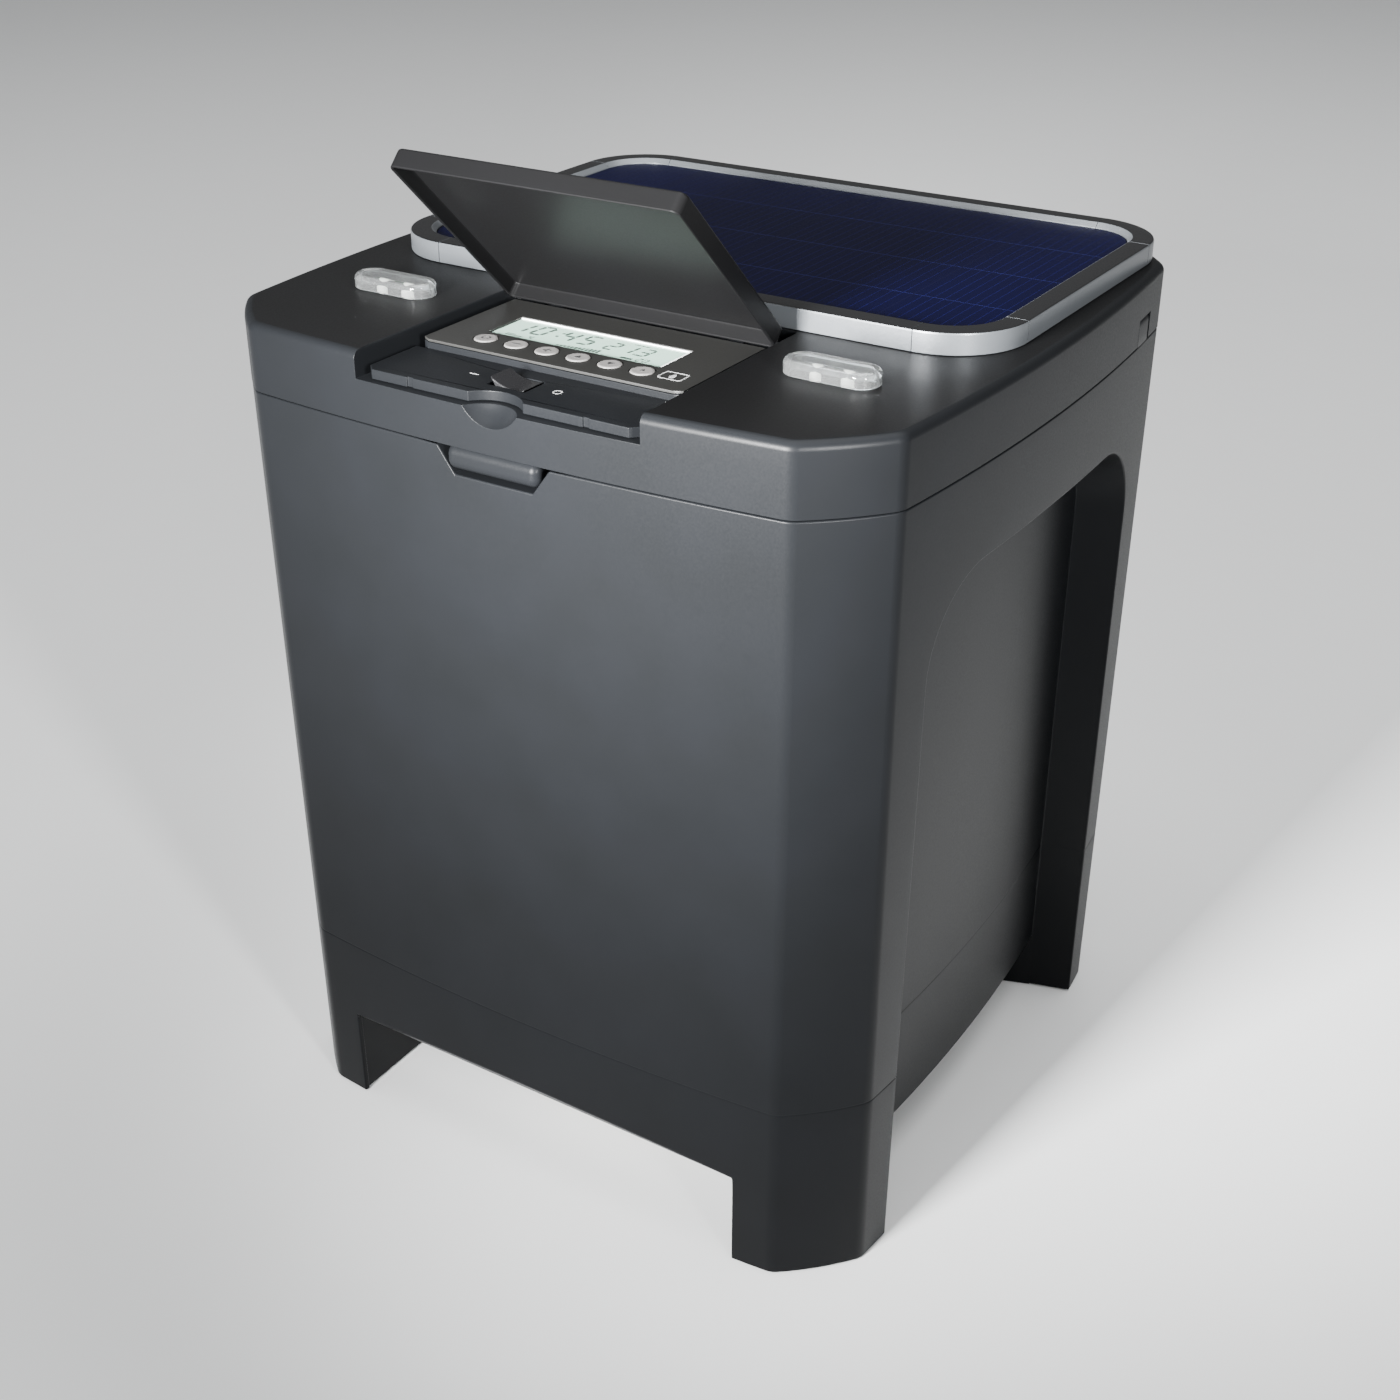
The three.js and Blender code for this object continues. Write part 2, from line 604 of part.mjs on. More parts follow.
function lidShell() {
  const outside = POCKET.x + WALL;
  const backing = SCOOP.radius + WALL + 0.5;
  const scoopRear = SCOOP.y + SCOOP.radius + WALL + 1.2;
  const pocketWalls = box(-outside, outside, -FAR, POCKET.rear + WALL, POCKET.floor - WALL, ABOVE);
  const scoopBacking = box(-backing, backing, -FAR, scoopRear, LID_BOTTOM + 8, POCKET.floor);
  const room = prism(planOutline(WALL), LID_BOTTOM - BITE, LID_TOP - WALL);
  const cavity = cut(room, pocketWalls, scoopBacking);
  const pocket = box(-POCKET.x, POCKET.x, -FAR, POCKET.rear, POCKET.floor, ABOVE);
  const scoop = new THREE.SphereGeometry(SCOOP.radius, 24, 14).translate(0, SCOOP.y, SCOOP.z);
  const below = box(-FAR, FAR, -FAR, FAR, LID_BOTTOM - 60, LID_BOTTOM);
  const notch = lidNotch();
  const posts = join(flapPost(), mirrorX(flapPost()));
  const boreEnd = FLAP_PIN.outer + 2;
  const pinBores = rodX(FLAP_AXIS.y, FLAP_AXIS.z, FLAP_PIN.bore, -boreEnd, boreEnd, 16);
  const knuckle = lidKnuckle();
  const openings = [notch, mirrorX(notch), lampHole(1), lampHole(-1)];
  const blank = cut(lidOuter(), cavity, pocket, scoop, below, ...openings);
  return join(cut(join(blank, lidLip(), posts), pinBores), knuckle, mirrorX(knuckle));
}

function lidLiner() {
  const plate = prism(planOutline(WALL + 0.6), LID_BOTTOM + 0.8, LID_BOTTOM + 3);
  const relief = LIP.x + 1;
  return cut(plate, box(-relief, relief, -FAR, LIP.back + 1, LID_BOTTOM - BITE, LID_BOTTOM + BITE));
}

function lidGasket() {
  const { x, y, round, width } = GASKET;
  const ring = roundedRectangle(-x, x, -y, y, round);
  ring.holes.push(roundedRectangle(width - x, x - width, width - y, y - width, round - width));
  return prism(ring, HOPPER.top + 1, LID_BOTTOM + 0.5, 3);
}

// ---- Display and controls -----------------------------------------------------------------------
function displayPlan(inset) {
  const x = DISPLAY.x - inset;
  const front = DISPLAY.front + inset;
  const rear = DISPLAY.rear - inset;
  return polygon([
    [-x + 4, front],
    [x - 4, front],
    [x, front + 2.4],
    [x, rear],
    [-x, rear],
    [-x, front + 2.4],
  ]);
}

const keyX = (index) => KEY.first + index * KEY.pitch;
const keyHole = (index) => rodZ(keyX(index), KEY.y, KEY.radius + 0.4, POCKET.floor, KEY.top + BITE, 16);
const keyHoles = () => Array.from({ length: KEY.count }, (_, i) => keyHole(i));

function lcdWindow(grow) {
  const { x, y, length, width } = LCD;
  const halfX = length / 2 + grow;
  const halfY = width / 2 + grow;
  return box(x - halfX, x + halfX, y - halfY, y + halfY, POCKET.floor, DISPLAY.top + BITE);
}

function displayHousing() {
  const top = DISPLAY.top - DISPLAY.sheet - GAP;
  const shell = prism(displayPlan(0), POCKET.floor + GAP, top);
  const hollow = prism(displayPlan(2), POCKET.floor - 1, top - 2);
  return cut(shell, hollow, lcdWindow(0.6), ...keyHoles());
}

function displayFascia() {
  const sheet = prism(displayPlan(0.2), DISPLAY.top - DISPLAY.sheet, DISPLAY.top);
  return cut(sheet, lcdWindow(0), ...keyHoles());
}

function lcdPanel() {
  return overlap(lcdWindow(-0.4), box(-FAR, FAR, -FAR, 0, DISPLAY.top - 4.4, DISPLAY.top - 0.8));
}

const controlBoard = () =>
  box(-64, 64, DISPLAY.front + 4, DISPLAY.rear - 5.6, POCKET.floor + 0.8, POCKET.floor + 2.4);

function keyCap(index) {
  const low = POCKET.floor + 3.4;
  const profile = [
    [0, low],
    [KEY.radius, low],
    [KEY.radius, KEY.top - 0.7],
    [KEY.radius - 0.7, KEY.top - 0.15],
    [0, KEY.top],
  ].map(([radius, z]) => new THREE.Vector2(radius, z));
  const turned = new THREE.LatheGeometry(profile, 16).rotateX(Math.PI / 2);
  return turned.translate(keyX(index), KEY.y, 0);
}

function switchPanel() {
  const { x, front, top, bevel } = SWITCH_PANEL;
  const rear = DISPLAY.front - GAP;
  const plan = polygon([
    [-x + bevel, front],
    [x - bevel, front],
    [x, front + bevel],
    [x, rear],
    [-x, rear],
    [-x, front + bevel],
  ]);
  const plate = prism(plan, POCKET.floor + GAP, top);
  const notch = rodZ(0, SCOOP.y, SCOOP.radius, POCKET.floor, top + BITE, 48);
  const half = ROCKER.half + 1;
  const side = ROCKER.width / 2 + 0.4;
  const window = box(
    ROCKER.x - half, ROCKER.x + half, ROCKER.y - side, ROCKER.y + side, POCKET.floor, top + BITE,
  );
  return cut(plate, notch, window);
}

function rockerSwitch() {
  const { half, width, tilt, x, y, z } = ROCKER;
  const profile = new THREE.Shape();
  profile.moveTo(-half, 3.6);
  profile.lineTo(-4.5, -1.6);
  profile.lineTo(4.5, -1.6);
  profile.lineTo(half, 3.6);
  profile.quadraticCurveTo(0, -0.4, -half, 3.6);
  const bar = barY(profile, -width / 2, width / 2, 6);
  return bar.rotateY(THREE.MathUtils.degToRad(tilt)).translate(x, y, z);
}

// ---- Flap ---------------------------------------------------------------------------------------
function flapKnuckle() {
  const { y, z } = FLAP_AXIS;
  const { inner, outer, barrel } = FLAP_KNUCKLE;
  const arm = polygon([
    [y, z + 3.4],
    [FLAP.rear - 1, z + 3.8],
    [FLAP.rear - 1, z - 3],
    [y, z - 3.4],
  ]);
  const block = join(barX(arm, inner, outer), rodX(y, z, barrel, inner, outer));
  return cut(block, rodX(y, z, FLAP_PIN.bore, inner - BITE, outer + BITE, 16));
}

function displayFlap() {
  const { x, front, rear, bottom, top, wall, skin } = FLAP;
  const tray = box(-x, x, front, rear, bottom, top);
  const hollow = box(-x + wall, x - wall, front + wall, rear - wall, bottom - BITE, top - skin);
  const catchDent = box(-9, 9, front + 7, front + 11, top - skin - 1, top - skin + 0.8);
  const knuckle = flapKnuckle();
  const closed = join(cut(tray, hollow, catchDent), knuckle, mirrorX(knuckle));
  closed.translate(0, -FLAP_AXIS.y, -FLAP_AXIS.z);
  closed.rotateX(THREE.MathUtils.degToRad(-FLAP_OPEN));
  return closed.translate(0, FLAP_AXIS.y, FLAP_AXIS.z);
}

function flapPin(side) {
  const { inner, outer, radius } = FLAP_PIN;
  const pin = rodX(FLAP_AXIS.y, FLAP_AXIS.z, radius, inner, outer, 16);
  return side > 0 ? pin : mirrorX(pin);
}

// ---- Lamps --------------------------------------------------------------------------------------
function lampLens(side) {
  const low = LID_TOP + GAP;
  const high = LID_TOP + LAMP.height;
  const outer = prism(stadium(side * LAMP.x, LAMP.y, LAMP.length, LAMP.width), low, high - 2, 4);
  const crown = prism(stadium(side * LAMP.x, LAMP.y, LAMP.length - 3, LAMP.width - 3), low, high, 4);
  const hollow = stadium(side * LAMP.x, LAMP.y, LAMP.length - 7, LAMP.width - 7);
  const inner = prism(hollow, low - BITE, high - 1.6, 4);
  return cut(join(outer, crown), inner);
}

function ledBoard(side) {
  const x = side * LAMP.x;
  const { half, width, low, high } = LED_BOARD;
  return box(x - half, x + half, LAMP.y - width, LAMP.y + width, LID_TOP - low, LID_TOP - high);
}

function ledLamp(side, offset) {
  const profile = [
    [0, 0],
    [LED.flange, 0],
    [LED.flange, 1],
    [LED.radius, 1],
    [LED.radius, 5.6],
    [1.9, 7.2],
    [0.9, 8],
    [0, 8.1],
  ].map(([radius, z]) => new THREE.Vector2(radius, z));
  const turned = new THREE.LatheGeometry(profile, 10).rotateX(Math.PI / 2);
  return turned.translate(side * LAMP.x + offset, LAMP.y, LID_TOP - LED.sunk);
}

// ---- Solar panel --------------------------------------------------------------------------------
function frameRail(x0, x1, y0, y1) {
  return box(x0, x1, y0, y1, LID_TOP + GAP, LID_TOP + FRAME.height);
}

function frameCorner(sideX, y, start) {
  const { radius, width, height, x } = FRAME;
  const turn = Math.PI / 2;
  const trim = 0.2 / radius;
  const shape = new THREE.Shape();
  shape.absarc(0, 0, radius, start + trim, start + turn - trim, false);
  shape.absarc(0, 0, radius - width, start + turn - trim, start + trim, true);
  shape.closePath();
  const corner = prism(shape, LID_TOP + GAP, LID_TOP + height, 6);
  return corner.translate(sideX * (x - radius), y, 0);
}

function panelPlan(inset) {
  const { x, front, rear, radius, width } = FRAME;
  const edge = width + inset;
  return roundedRectangle(-x + edge, x - edge, front + edge, rear - edge, radius - edge);
}

const panelBacking = () => prism(panelPlan(0.4), LID_TOP + GAP, LID_TOP + 4, 4);
const solarPanel = () => prism(panelPlan(0.4), LID_TOP + 4 + GAP, LID_TOP + 7.7, 4);

// Four shrink-wrapped cells side by side, under the lid top.
function batteryPack() {
  const { first, pitch, z, radius, half, count } = CELL;
  const cell = (index) => rodX(first + index * pitch, z, radius, -half, half, 12);
  return join(...Array.from({ length: count }, (_, i) => cell(i)));
}

// ---- Assembly -----------------------------------------------------------------------------------
const machine = new THREE.Group();
const add = (name, geometry, material) => {
  const mesh = new THREE.Mesh(geometry, material);
  mesh.name = name;
  machine.add(mesh);
};

add('body_shell', bodyShell(), SATIN_BLACK);
add('base_panel', basePanel(), SATIN_BLACK);
for (const [along, sideY] of [['front', -1], ['rear', 1]]) {
  add(`foot_pad_${along}_left`, footPad(-FOOT.place, sideY * FOOT.place), RUBBER);
  add(`foot_pad_${along}_right`, footPad(FOOT.place, sideY * FOOT.place), RUBBER);
}
add('lid_hinge_pin_left', hingePin(-HINGE_X), STEEL);
add('lid_hinge_pin_right', hingePin(HINGE_X), STEEL);

add('hopper', hopper(), HOPPER_GREY);
add('dosing_housing', dosingHousing(), NYLON);
add('dosing_wheel', dosingWheel(), NYLON);
add('dosing_gear', dosingGear(), NYLON);
add('drive_pinion', drivePinion(), STEEL);
add('dosing_motor', dosingMotor(), STEEL);
add('motor_bracket', motorBracket(), STEEL);
add('spinner_disc', spinnerDisc(), NYLON);
add('spinner_motor', spinnerMotor(), STEEL);

add('lid_shell', lidShell(), SATIN_BLACK);
add('lid_liner', lidLiner(), HOPPER_GREY);
add('lid_gasket', lidGasket(), RUBBER);
add('battery_pack', batteryPack(), WRAP_BLUE);

add('display_housing', displayHousing(), GLOSS_BLACK);
add('display_fascia', displayFascia(), FASCIA_BLACK);
add('lcd_panel', lcdPanel(), LCD_GREEN);
add('control_board', controlBoard(), BOARD_GREEN);
for (let i = 0; i < KEY.count; i += 1) {
  add(`key_${i + 1}`, keyCap(i), KEY_GREY);
}
add('switch_panel', switchPanel(), GLOSS_BLACK);
add('rocker_switch', rockerSwitch(), GLOSS_BLACK);
add('display_flap', displayFlap(), SATIN_BLACK);
add('flap_pin_left', flapPin(-1), STEEL);
add('flap_pin_right', flapPin(1), STEEL);

for (const [name, side] of [['left', -1], ['right', 1]]) {
  add(`lamp_lens_${name}`, lampLens(side), CLEAR);
  add(`led_board_${name}`, ledBoard(side), BOARD_GREEN);
  add(`led_${name}_outer`, ledLamp(side, (side * LAMP.pitch) / 2), LED_WHITE);
  add(`led_${name}_inner`, ledLamp(side, (-side * LAMP.pitch) / 2), LED_WHITE);
}

const { x: frameX, front: frameFront, rear: frameRear, radius: frameRadius, width: frameWidth } = FRAME;
const railX = frameX - frameRadius - 0.2;
add('frame_rail_front', frameRail(-railX, railX, frameFront, frameFront + frameWidth), FRAME_GREY);
add('frame_rail_rear', frameRail(-railX, railX, frameRear - frameWidth, frameRear), FRAME_GREY);
const railFront = frameFront + frameRadius + 0.2;
const railRear = frameRear - frameRadius - 0.2;
add('frame_rail_left', frameRail(-frameX, -frameX + frameWidth, railFront, railRear), FRAME_GREY);
add('frame_rail_right', frameRail(frameX - frameWidth, frameX, railFront, railRear), FRAME_GREY);
add('frame_corner_front_left', frameCorner(-1, frameFront + frameRadius, Math.PI), FRAME_GREY);
add('frame_corner_front_right', frameCorner(1, frameFront + frameRadius, -Math.PI / 2), FRAME_GREY);
add('frame_corner_rear_left', frameCorner(-1, frameRear - frameRadius, Math.PI / 2), FRAME_GREY);
add('frame_corner_rear_right', frameCorner(1, frameRear - frameRadius, 0), FRAME_GREY);
add('panel_backing', panelBacking(), HOPPER_GREY);
add('solar_panel', solarPanel(), CELL_BLUE);

// Centres the whole depth, hinge barrels and handle lip included, on the origin.
machine.position.y = -(HINGE.y + HINGE.barrel + LIP.front) / 2;

export default machine;
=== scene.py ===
"""Solar feed dispenser: casings, lid, flap, controls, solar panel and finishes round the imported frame."""

import json
import logging
import math
from dataclasses import dataclass
from enum import Enum
from typing import Callable, Sequence

import bmesh
import bpy
import numpy as np
from mathutils import Euler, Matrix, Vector
from mathutils.geometry import tessellate_polygon


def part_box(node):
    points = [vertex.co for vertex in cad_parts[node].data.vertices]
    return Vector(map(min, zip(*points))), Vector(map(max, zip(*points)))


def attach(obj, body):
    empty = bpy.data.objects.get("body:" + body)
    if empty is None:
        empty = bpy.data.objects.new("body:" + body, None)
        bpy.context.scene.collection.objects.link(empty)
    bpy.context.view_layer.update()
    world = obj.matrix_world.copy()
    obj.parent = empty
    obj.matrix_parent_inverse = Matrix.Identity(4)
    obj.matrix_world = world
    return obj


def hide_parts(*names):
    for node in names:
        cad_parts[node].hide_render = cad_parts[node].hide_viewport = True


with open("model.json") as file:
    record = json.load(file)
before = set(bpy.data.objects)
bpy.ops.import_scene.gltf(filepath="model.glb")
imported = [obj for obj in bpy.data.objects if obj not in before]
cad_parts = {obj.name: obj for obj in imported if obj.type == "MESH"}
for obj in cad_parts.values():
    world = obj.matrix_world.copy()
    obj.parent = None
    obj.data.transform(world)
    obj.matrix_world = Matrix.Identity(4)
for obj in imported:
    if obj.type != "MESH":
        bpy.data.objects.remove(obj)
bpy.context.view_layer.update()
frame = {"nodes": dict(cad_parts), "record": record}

LOG = logging.getLogger("feeder")
MM = 0.001
WELD = 2e-6  # metres: patch borders closer than this are one seam
CLOSE = 1e-6  # millimetres: places nearer than this are the same
NOTCH = (102.8, 121.2)  # millimetres along y: the lid side's opening for a locating tongue
BEVEL_ANGLE = math.radians(34)  # edges sharper than this are softened
SHARP_ANGLE = math.radians(38)  # on a piece with no soft edges, edges above this stay crisp
PAD_FRONT, PAD_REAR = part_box("foot_pad_front_left"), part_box("foot_pad_rear_left")
CENTRE_Y = (PAD_FRONT[0].y + PAD_REAR[1].y) / 2  # metres: the plan's middle, halfway between the feet

Outline = Callable[[float], np.ndarray]


class Axis(Enum):
    """The direction that a profile is carried along, and the order of its point columns."""

    X = (2, 0, 1)
    Y = (0, 2, 1)
    Z = (0, 1, 2)


class Body(Enum):
    """The bodies that new pieces ride on; each key's cap rides on the key's own body."""

    BODY = "body"
    LID = "lid"
    FLAP = "flap"
    ROCKER = "rocker"


# ---- Outlines --------------------------------------------------------------------------------------
def rounded_box(x0: float, x1: float, y0: float, y1: float, radius: float, steps: int = 6) -> Outline:
    """A rectangle with quarter-circle corners, drawn inwards by an inset.

    Args:
        x0, x1, y0, y1: the sides at no inset, in millimetres.
        radius: the corner radius at no inset.
        steps: chords in each corner.

    Returns:
        A function of the inset that gives the loop's points, counter-clockwise.
    """

    def loop(inset: float) -> np.ndarray:
        """Each corner is centre + r (cos a, sin a), with a running a quarter turn."""
        r = max(radius - inset, 0.05)
        a = np.linspace(-math.pi / 2, 0, steps + 1)
        turns = [a + k * math.pi / 2 for k in range(4)]
        right, left, low, high = x1 - inset - r, x0 + inset + r, y0 + inset + r, y1 - inset - r
        centres = [(right, low), (right, high), (left, high), (left, low)]
        rays = [np.column_stack([np.cos(t), np.sin(t)]) for t in turns]
        parts = [np.array(centre) + r * ray for centre, ray in zip(centres, rays)]
        return np.concatenate(parts)

    return loop


def circle(x: float, y: float, radius: float, steps: int = 48) -> Outline:
    """A circle about (x, y); the inset shrinks its radius."""
    a = np.linspace(0, 2 * math.pi, steps, endpoint=False)
    ray = np.column_stack([np.cos(a), np.sin(a)])
    return lambda inset: np.array([x, y]) + (radius - inset) * ray


def quadratic(start: np.ndarray, control: np.ndarray, end: np.ndarray, steps: int) -> np.ndarray:
    """A soft corner: the parabola (1-t)^2 start + 2t(1-t) control + t^2 end."""
    t = np.linspace(0, 1, steps)[:, None]
    return (1 - t) ** 2 * start + 2 * t * (1 - t) * control + t**2 * end


@dataclass(frozen=True)
class Plan:
    """The square plan shared by body and lid: bowed faces, bowed corner chamfers, soft edges between.

    It also holds the places that several sub-assemblies share: the flap's axis, the lamps, the finger
    scoop and the pocket floor. Sizes are in millimetres.
    """

    half: float = 175.0
    corner: float = 33.0
    bow_front: float = 7.0
    bow_side: float = 8.0
    bow_corner: float = 1.7
    taper: float = 0.0085
    lid_top: float = 436.3
    blend: float = 3.4
    flap_y: float = -61.2
    flap_z: float = 431.0
    lamp_x: float = 118.5
    lamp_y: float = -100.0
    scoop_y: float = -188.7
    scoop_radius: float = 18.5
    pocket_floor: float = 423.7

    def chord(self, inset: float = 0.0) -> float:
        """Half the straight distance between a face's two corner edges."""
        return self.half - self.corner - inset * math.tan(math.pi / 8)

    def reach(self, inset: float = 0.0) -> float:
        """Half the stretch of a face between its soft edges."""
        return self.chord(inset) - self.blend

    def bowed(self, along: np.ndarray, bow: float, inset: float) -> np.ndarray:
        """Distance from the middle to a face: half - inset + 4 bow t (1 - t), with t from edge to edge."""
        chord = self.chord(inset)
        t = (np.asarray(along) + chord) / (2 * chord)
        return self.half - inset + 4 * bow * t * (1 - t)

    def front(self, x: np.ndarray, inset: float = 0.0) -> np.ndarray:
        """Distance from the middle to the front or rear face at x."""
        return self.bowed(x, self.bow_front, inset)

    def side(self, y: np.ndarray, inset: float = 0.0) -> np.ndarray:
        """Distance from the middle to a side face at y."""
        return self.bowed(y, self.bow_side, inset)

    def scale(self, z: np.ndarray) -> np.ndarray:
        """How much the body narrows at height z, against the lid top."""
        return 1 - self.taper * (self.lid_top - np.asarray(z)) / self.lid_top

    def chamfer(self, inset: float = 0.0) -> np.ndarray:
        """One corner, from the front face to the side face, as (across, forward) points.

        The chamfer is a + (b - a) t + n 4 bow t (1 - t), and a parabola eases it into each face.
        """
        chord, half = self.chord(inset), self.half - inset
        a, b = np.array([chord, half]), np.array([half, chord])
        share = self.blend / np.linalg.norm(b - a)
        t = np.linspace(share, 1 - share, 9)[:, None]
        middle = a + (b - a) * t + math.sqrt(0.5) * 4 * self.bow_corner * t * (1 - t)
        reach = self.reach(inset)
        start = np.array([reach, float(self.front(reach, inset))])
        end = np.array([float(self.side(reach, inset)), reach])
        lead = quadratic(start, a, middle[0], 6)
        tail = quadratic(middle[-1], b, end, 6)
        return np.concatenate([lead[:-1], middle, tail[1:]])

    def half_ring(self, start: float, inset: float, along: int = 10) -> np.ndarray:
        """The outline from (start, front) round the right side to (start, rear), as (x, y) points."""
        reach = self.reach(inset)
        x = np.linspace(start, reach, along)
        front = np.column_stack([x, -self.front(x, inset)])
        corner = self.chamfer(inset) * [1, -1]
        y = side_stops(reach)
        side = np.column_stack([self.side(y, inset), y])
        back = corner[::-1] * [1, -1]
        rear = front[::-1] * [1, -1]
        return np.concatenate([front, corner[1:], side[1:], back[1:], rear[1:]])


def side_stops(reach: float) -> np.ndarray:
    """The y stops along a lid side, with one at each edge of the locating notch."""
    notch = np.linspace(*NOTCH, 5)
    ahead = np.linspace(-reach, notch[0], 22)[:-1]
    behind = np.linspace(notch[-1], reach, 4)[1:]
    return np.concatenate([ahead, notch, behind])


PLAN = Plan()


# ---- Meshes ----------------------------------------------------------------------------------------
class Skin:
    """Patches in millimetres about the middle of the plan, welded into one mesh with its faces outwards."""

    def __init__(self) -> None:
        """Starts with nothing."""
        self.points: list[np.ndarray] = []
        self.faces: list[list[int]] = []
        self.tags: list[int] = []
        self.count = 0

    def take(self, points: np.ndarray) -> int:
        """Adds points and returns the index of the first."""
        start = self.count
        self.points.append(points.reshape(-1, 3).astype(float))
        self.count += len(self.points[-1])
        return start

    def fill(self, faces: list[list[int]], tag: int) -> None:
        """Adds faces that all carry one material tag."""
        self.faces += faces
        self.tags += [tag] * len(faces)

    def grid(self, points: np.ndarray, closed: bool = False, keep: np.ndarray | None = None,
             tag: int = 0) -> None:
        """Quads between neighbouring rows and columns.

        Args:
            points: (rows, columns, 3) millimetres.
            closed: whether the last column meets the first.
            keep: (rows - 1, columns - 1) flags, false where a quad is left open.
            tag: the material slot's index.
        """
        rows, columns = points.shape[:2]
        index = self.take(points) + np.arange(rows * columns).reshape(rows, columns)
        if closed:
            index = np.concatenate([index, index[:, :1]], axis=1)
        quads = np.stack([index[:-1, :-1], index[:-1, 1:], index[1:, 1:], index[1:, :-1]], axis=-1)
        quads = quads.reshape(-1, 4) if keep is None else quads[keep]
        self.fill(quads.tolist(), tag)

    def cap(self, loop: np.ndarray, tag: int = 0) -> None:
        """One flat face over a loop."""
        start = self.take(loop)
        self.fill([list(range(start, start + len(loop)))], tag)

    def plate(self, loops: Sequence[np.ndarray], tag: int = 0) -> None:
        """A flat face with holes: the first loop is its edge and the others are the holes."""
        start = self.take(np.concatenate(loops))
        triangles = tessellate_polygon([[Vector(p) for p in loop] for loop in loops])
        self.fill([[start + i for i in triangle] for triangle in triangles], tag)

    def stack(self, outline: Outline, steps: Sequence[tuple[float, float]], axis: Axis = Axis.Z,
              tag: int = 0) -> None:
        """Loops of one outline, each at its own (inset, height), joined and closed at both ends."""
        rows = np.stack([lift(outline(inset), height, axis) for inset, height in steps])
        self.grid(rows, closed=True, tag=tag)
        self.cap(rows[0], tag)
        self.cap(rows[-1], tag)

    def prism(self, loops: Sequence[np.ndarray], low: float, high: float, axis: Axis = Axis.Z,
              tag: int = 0) -> None:
        """A straight bar with the first loop as its outline and any others as holes through it."""
        for loop in loops:
            self.grid(np.stack([lift(loop, low, axis), lift(loop, high, axis)]), closed=True, tag=tag)
        for level in (low, high):
            if len(loops) == 1:
                self.cap(lift(loops[0], level, axis), tag)
            else:
                self.plate([lift(loop, level, axis) for loop in loops], tag)

    def turn(self, pivot: Sequence[float], degrees: Sequence[float]) -> None:
        """Turns everything added so far about a pivot, by angles about X, Y and Z."""
        spin = np.array(Euler([math.radians(a) for a in degrees]).to_matrix())
        centre = np.array(pivot)
        self.points = [(p - centre) @ spin.T + centre for p in self.points]

    def build(self, name: str) -> bpy.types.Object:
        """Welds the patches and returns the piece, in metres in the frame."""
        points = np.concatenate(self.points) * MM
        points[:, 1] += CENTRE_Y
        mesh = bpy.data.meshes.new(name)
        mesh.from_pydata(points.tolist(), [], self.faces)
        mesh.polygons.foreach_set("material_index", self.tags)
        work = bmesh.new()
        work.from_mesh(mesh)
        bmesh.ops.remove_doubles(work, verts=work.verts, dist=WELD)
        bmesh.ops.dissolve_degenerate(work, dist=WELD, edges=work.edges)
        bmesh.ops.recalc_face_normals(work, faces=work.faces)
        work.to_mesh(mesh)
        work.free()
        mesh.polygons.foreach_set("use_smooth", [True] * len(mesh.polygons))
        piece = bpy.data.objects.new(name, mesh)
        bpy.context.scene.collection.objects.link(piece)
        return piece


def lift(loop: np.ndarray, height: float, axis: Axis = Axis.Z) -> np.ndarray:
    """Places a flat loop at a height along an axis."""
    points = np.column_stack([loop, np.full(len(loop), height)])
    return points[:, list(axis.value)]


def prism_piece(name: str, loops: Sequence[np.ndarray], low: float, high: float,
                axis: Axis = Axis.Z) -> bpy.types.Object:
    """A piece that is one straight bar."""
    skin = Skin()
    skin.prism(loops, low, high, axis)
    return skin.build(name)


def stack_piece(name: str, outline: Outline, steps: Sequence[tuple[float, float]],
                axis: Axis = Axis.Z) -> bpy.types.Object:
    """A piece that is one stack of loops."""
    skin = Skin()
    skin.stack(outline, steps, axis)
    return skin.build(name)


def fillet(radius: float, top: float, steps: int = 4) -> list[tuple[float, float]]:
    """(inset, height) of a rounded top edge: inset r (1 - cos a), height top - r + r sin a."""
    a = np.linspace(0, math.pi / 2, steps + 1)
    return list(zip(radius * (1 - np.cos(a)), top - radius + radius * np.sin(a)))


def foot_fillet(radius: float, bottom: float, steps: int = 4) -> list[tuple[float, float]]:
    """(inset, height) of a rounded bottom edge, from its flat underside outwards."""
    return [(inset, 2 * bottom - height) for inset, height in reversed(fillet(radius, bottom, steps))]


# ---- Finishes --------------------------------------------------------------------------------------
def linear(colour: str) -> tuple[float, float, float, float]:
    """Turns an sRGB hex colour to linear red, green, blue and full alpha."""
    values = np.array([int(colour[i:i + 2], 16) / 255 for i in (1, 3, 5)])
    out = np.where(values <= 0.04045, values / 12.92, ((values + 0.055) / 1.055) ** 2.4)
    return (*out.tolist(), 1.0)


def add_node(tree: bpy.types.NodeTree, kind: str, inputs: dict | None = None, **settings) -> bpy.types.Node:
    """Adds one node.

    Args:
        tree: the material's node tree.
        kind: the node's Blender type.
        inputs: for each input's name or index, a socket to link or a constant.
        settings: the node's own properties.

    Returns:
        The new node.
    """
    made = tree.nodes.new(kind)
    for key, value in settings.items():
        setattr(made, key, value)
    for key, value in (inputs or {}).items():
        if isinstance(value, bpy.types.NodeSocket):
            tree.links.new(value, made.inputs[key])
        else:
            made.inputs[key].default_value = value
    return made


MOTTLE = 45.0  # millimetres: size of the slow drift in a moulding's tone


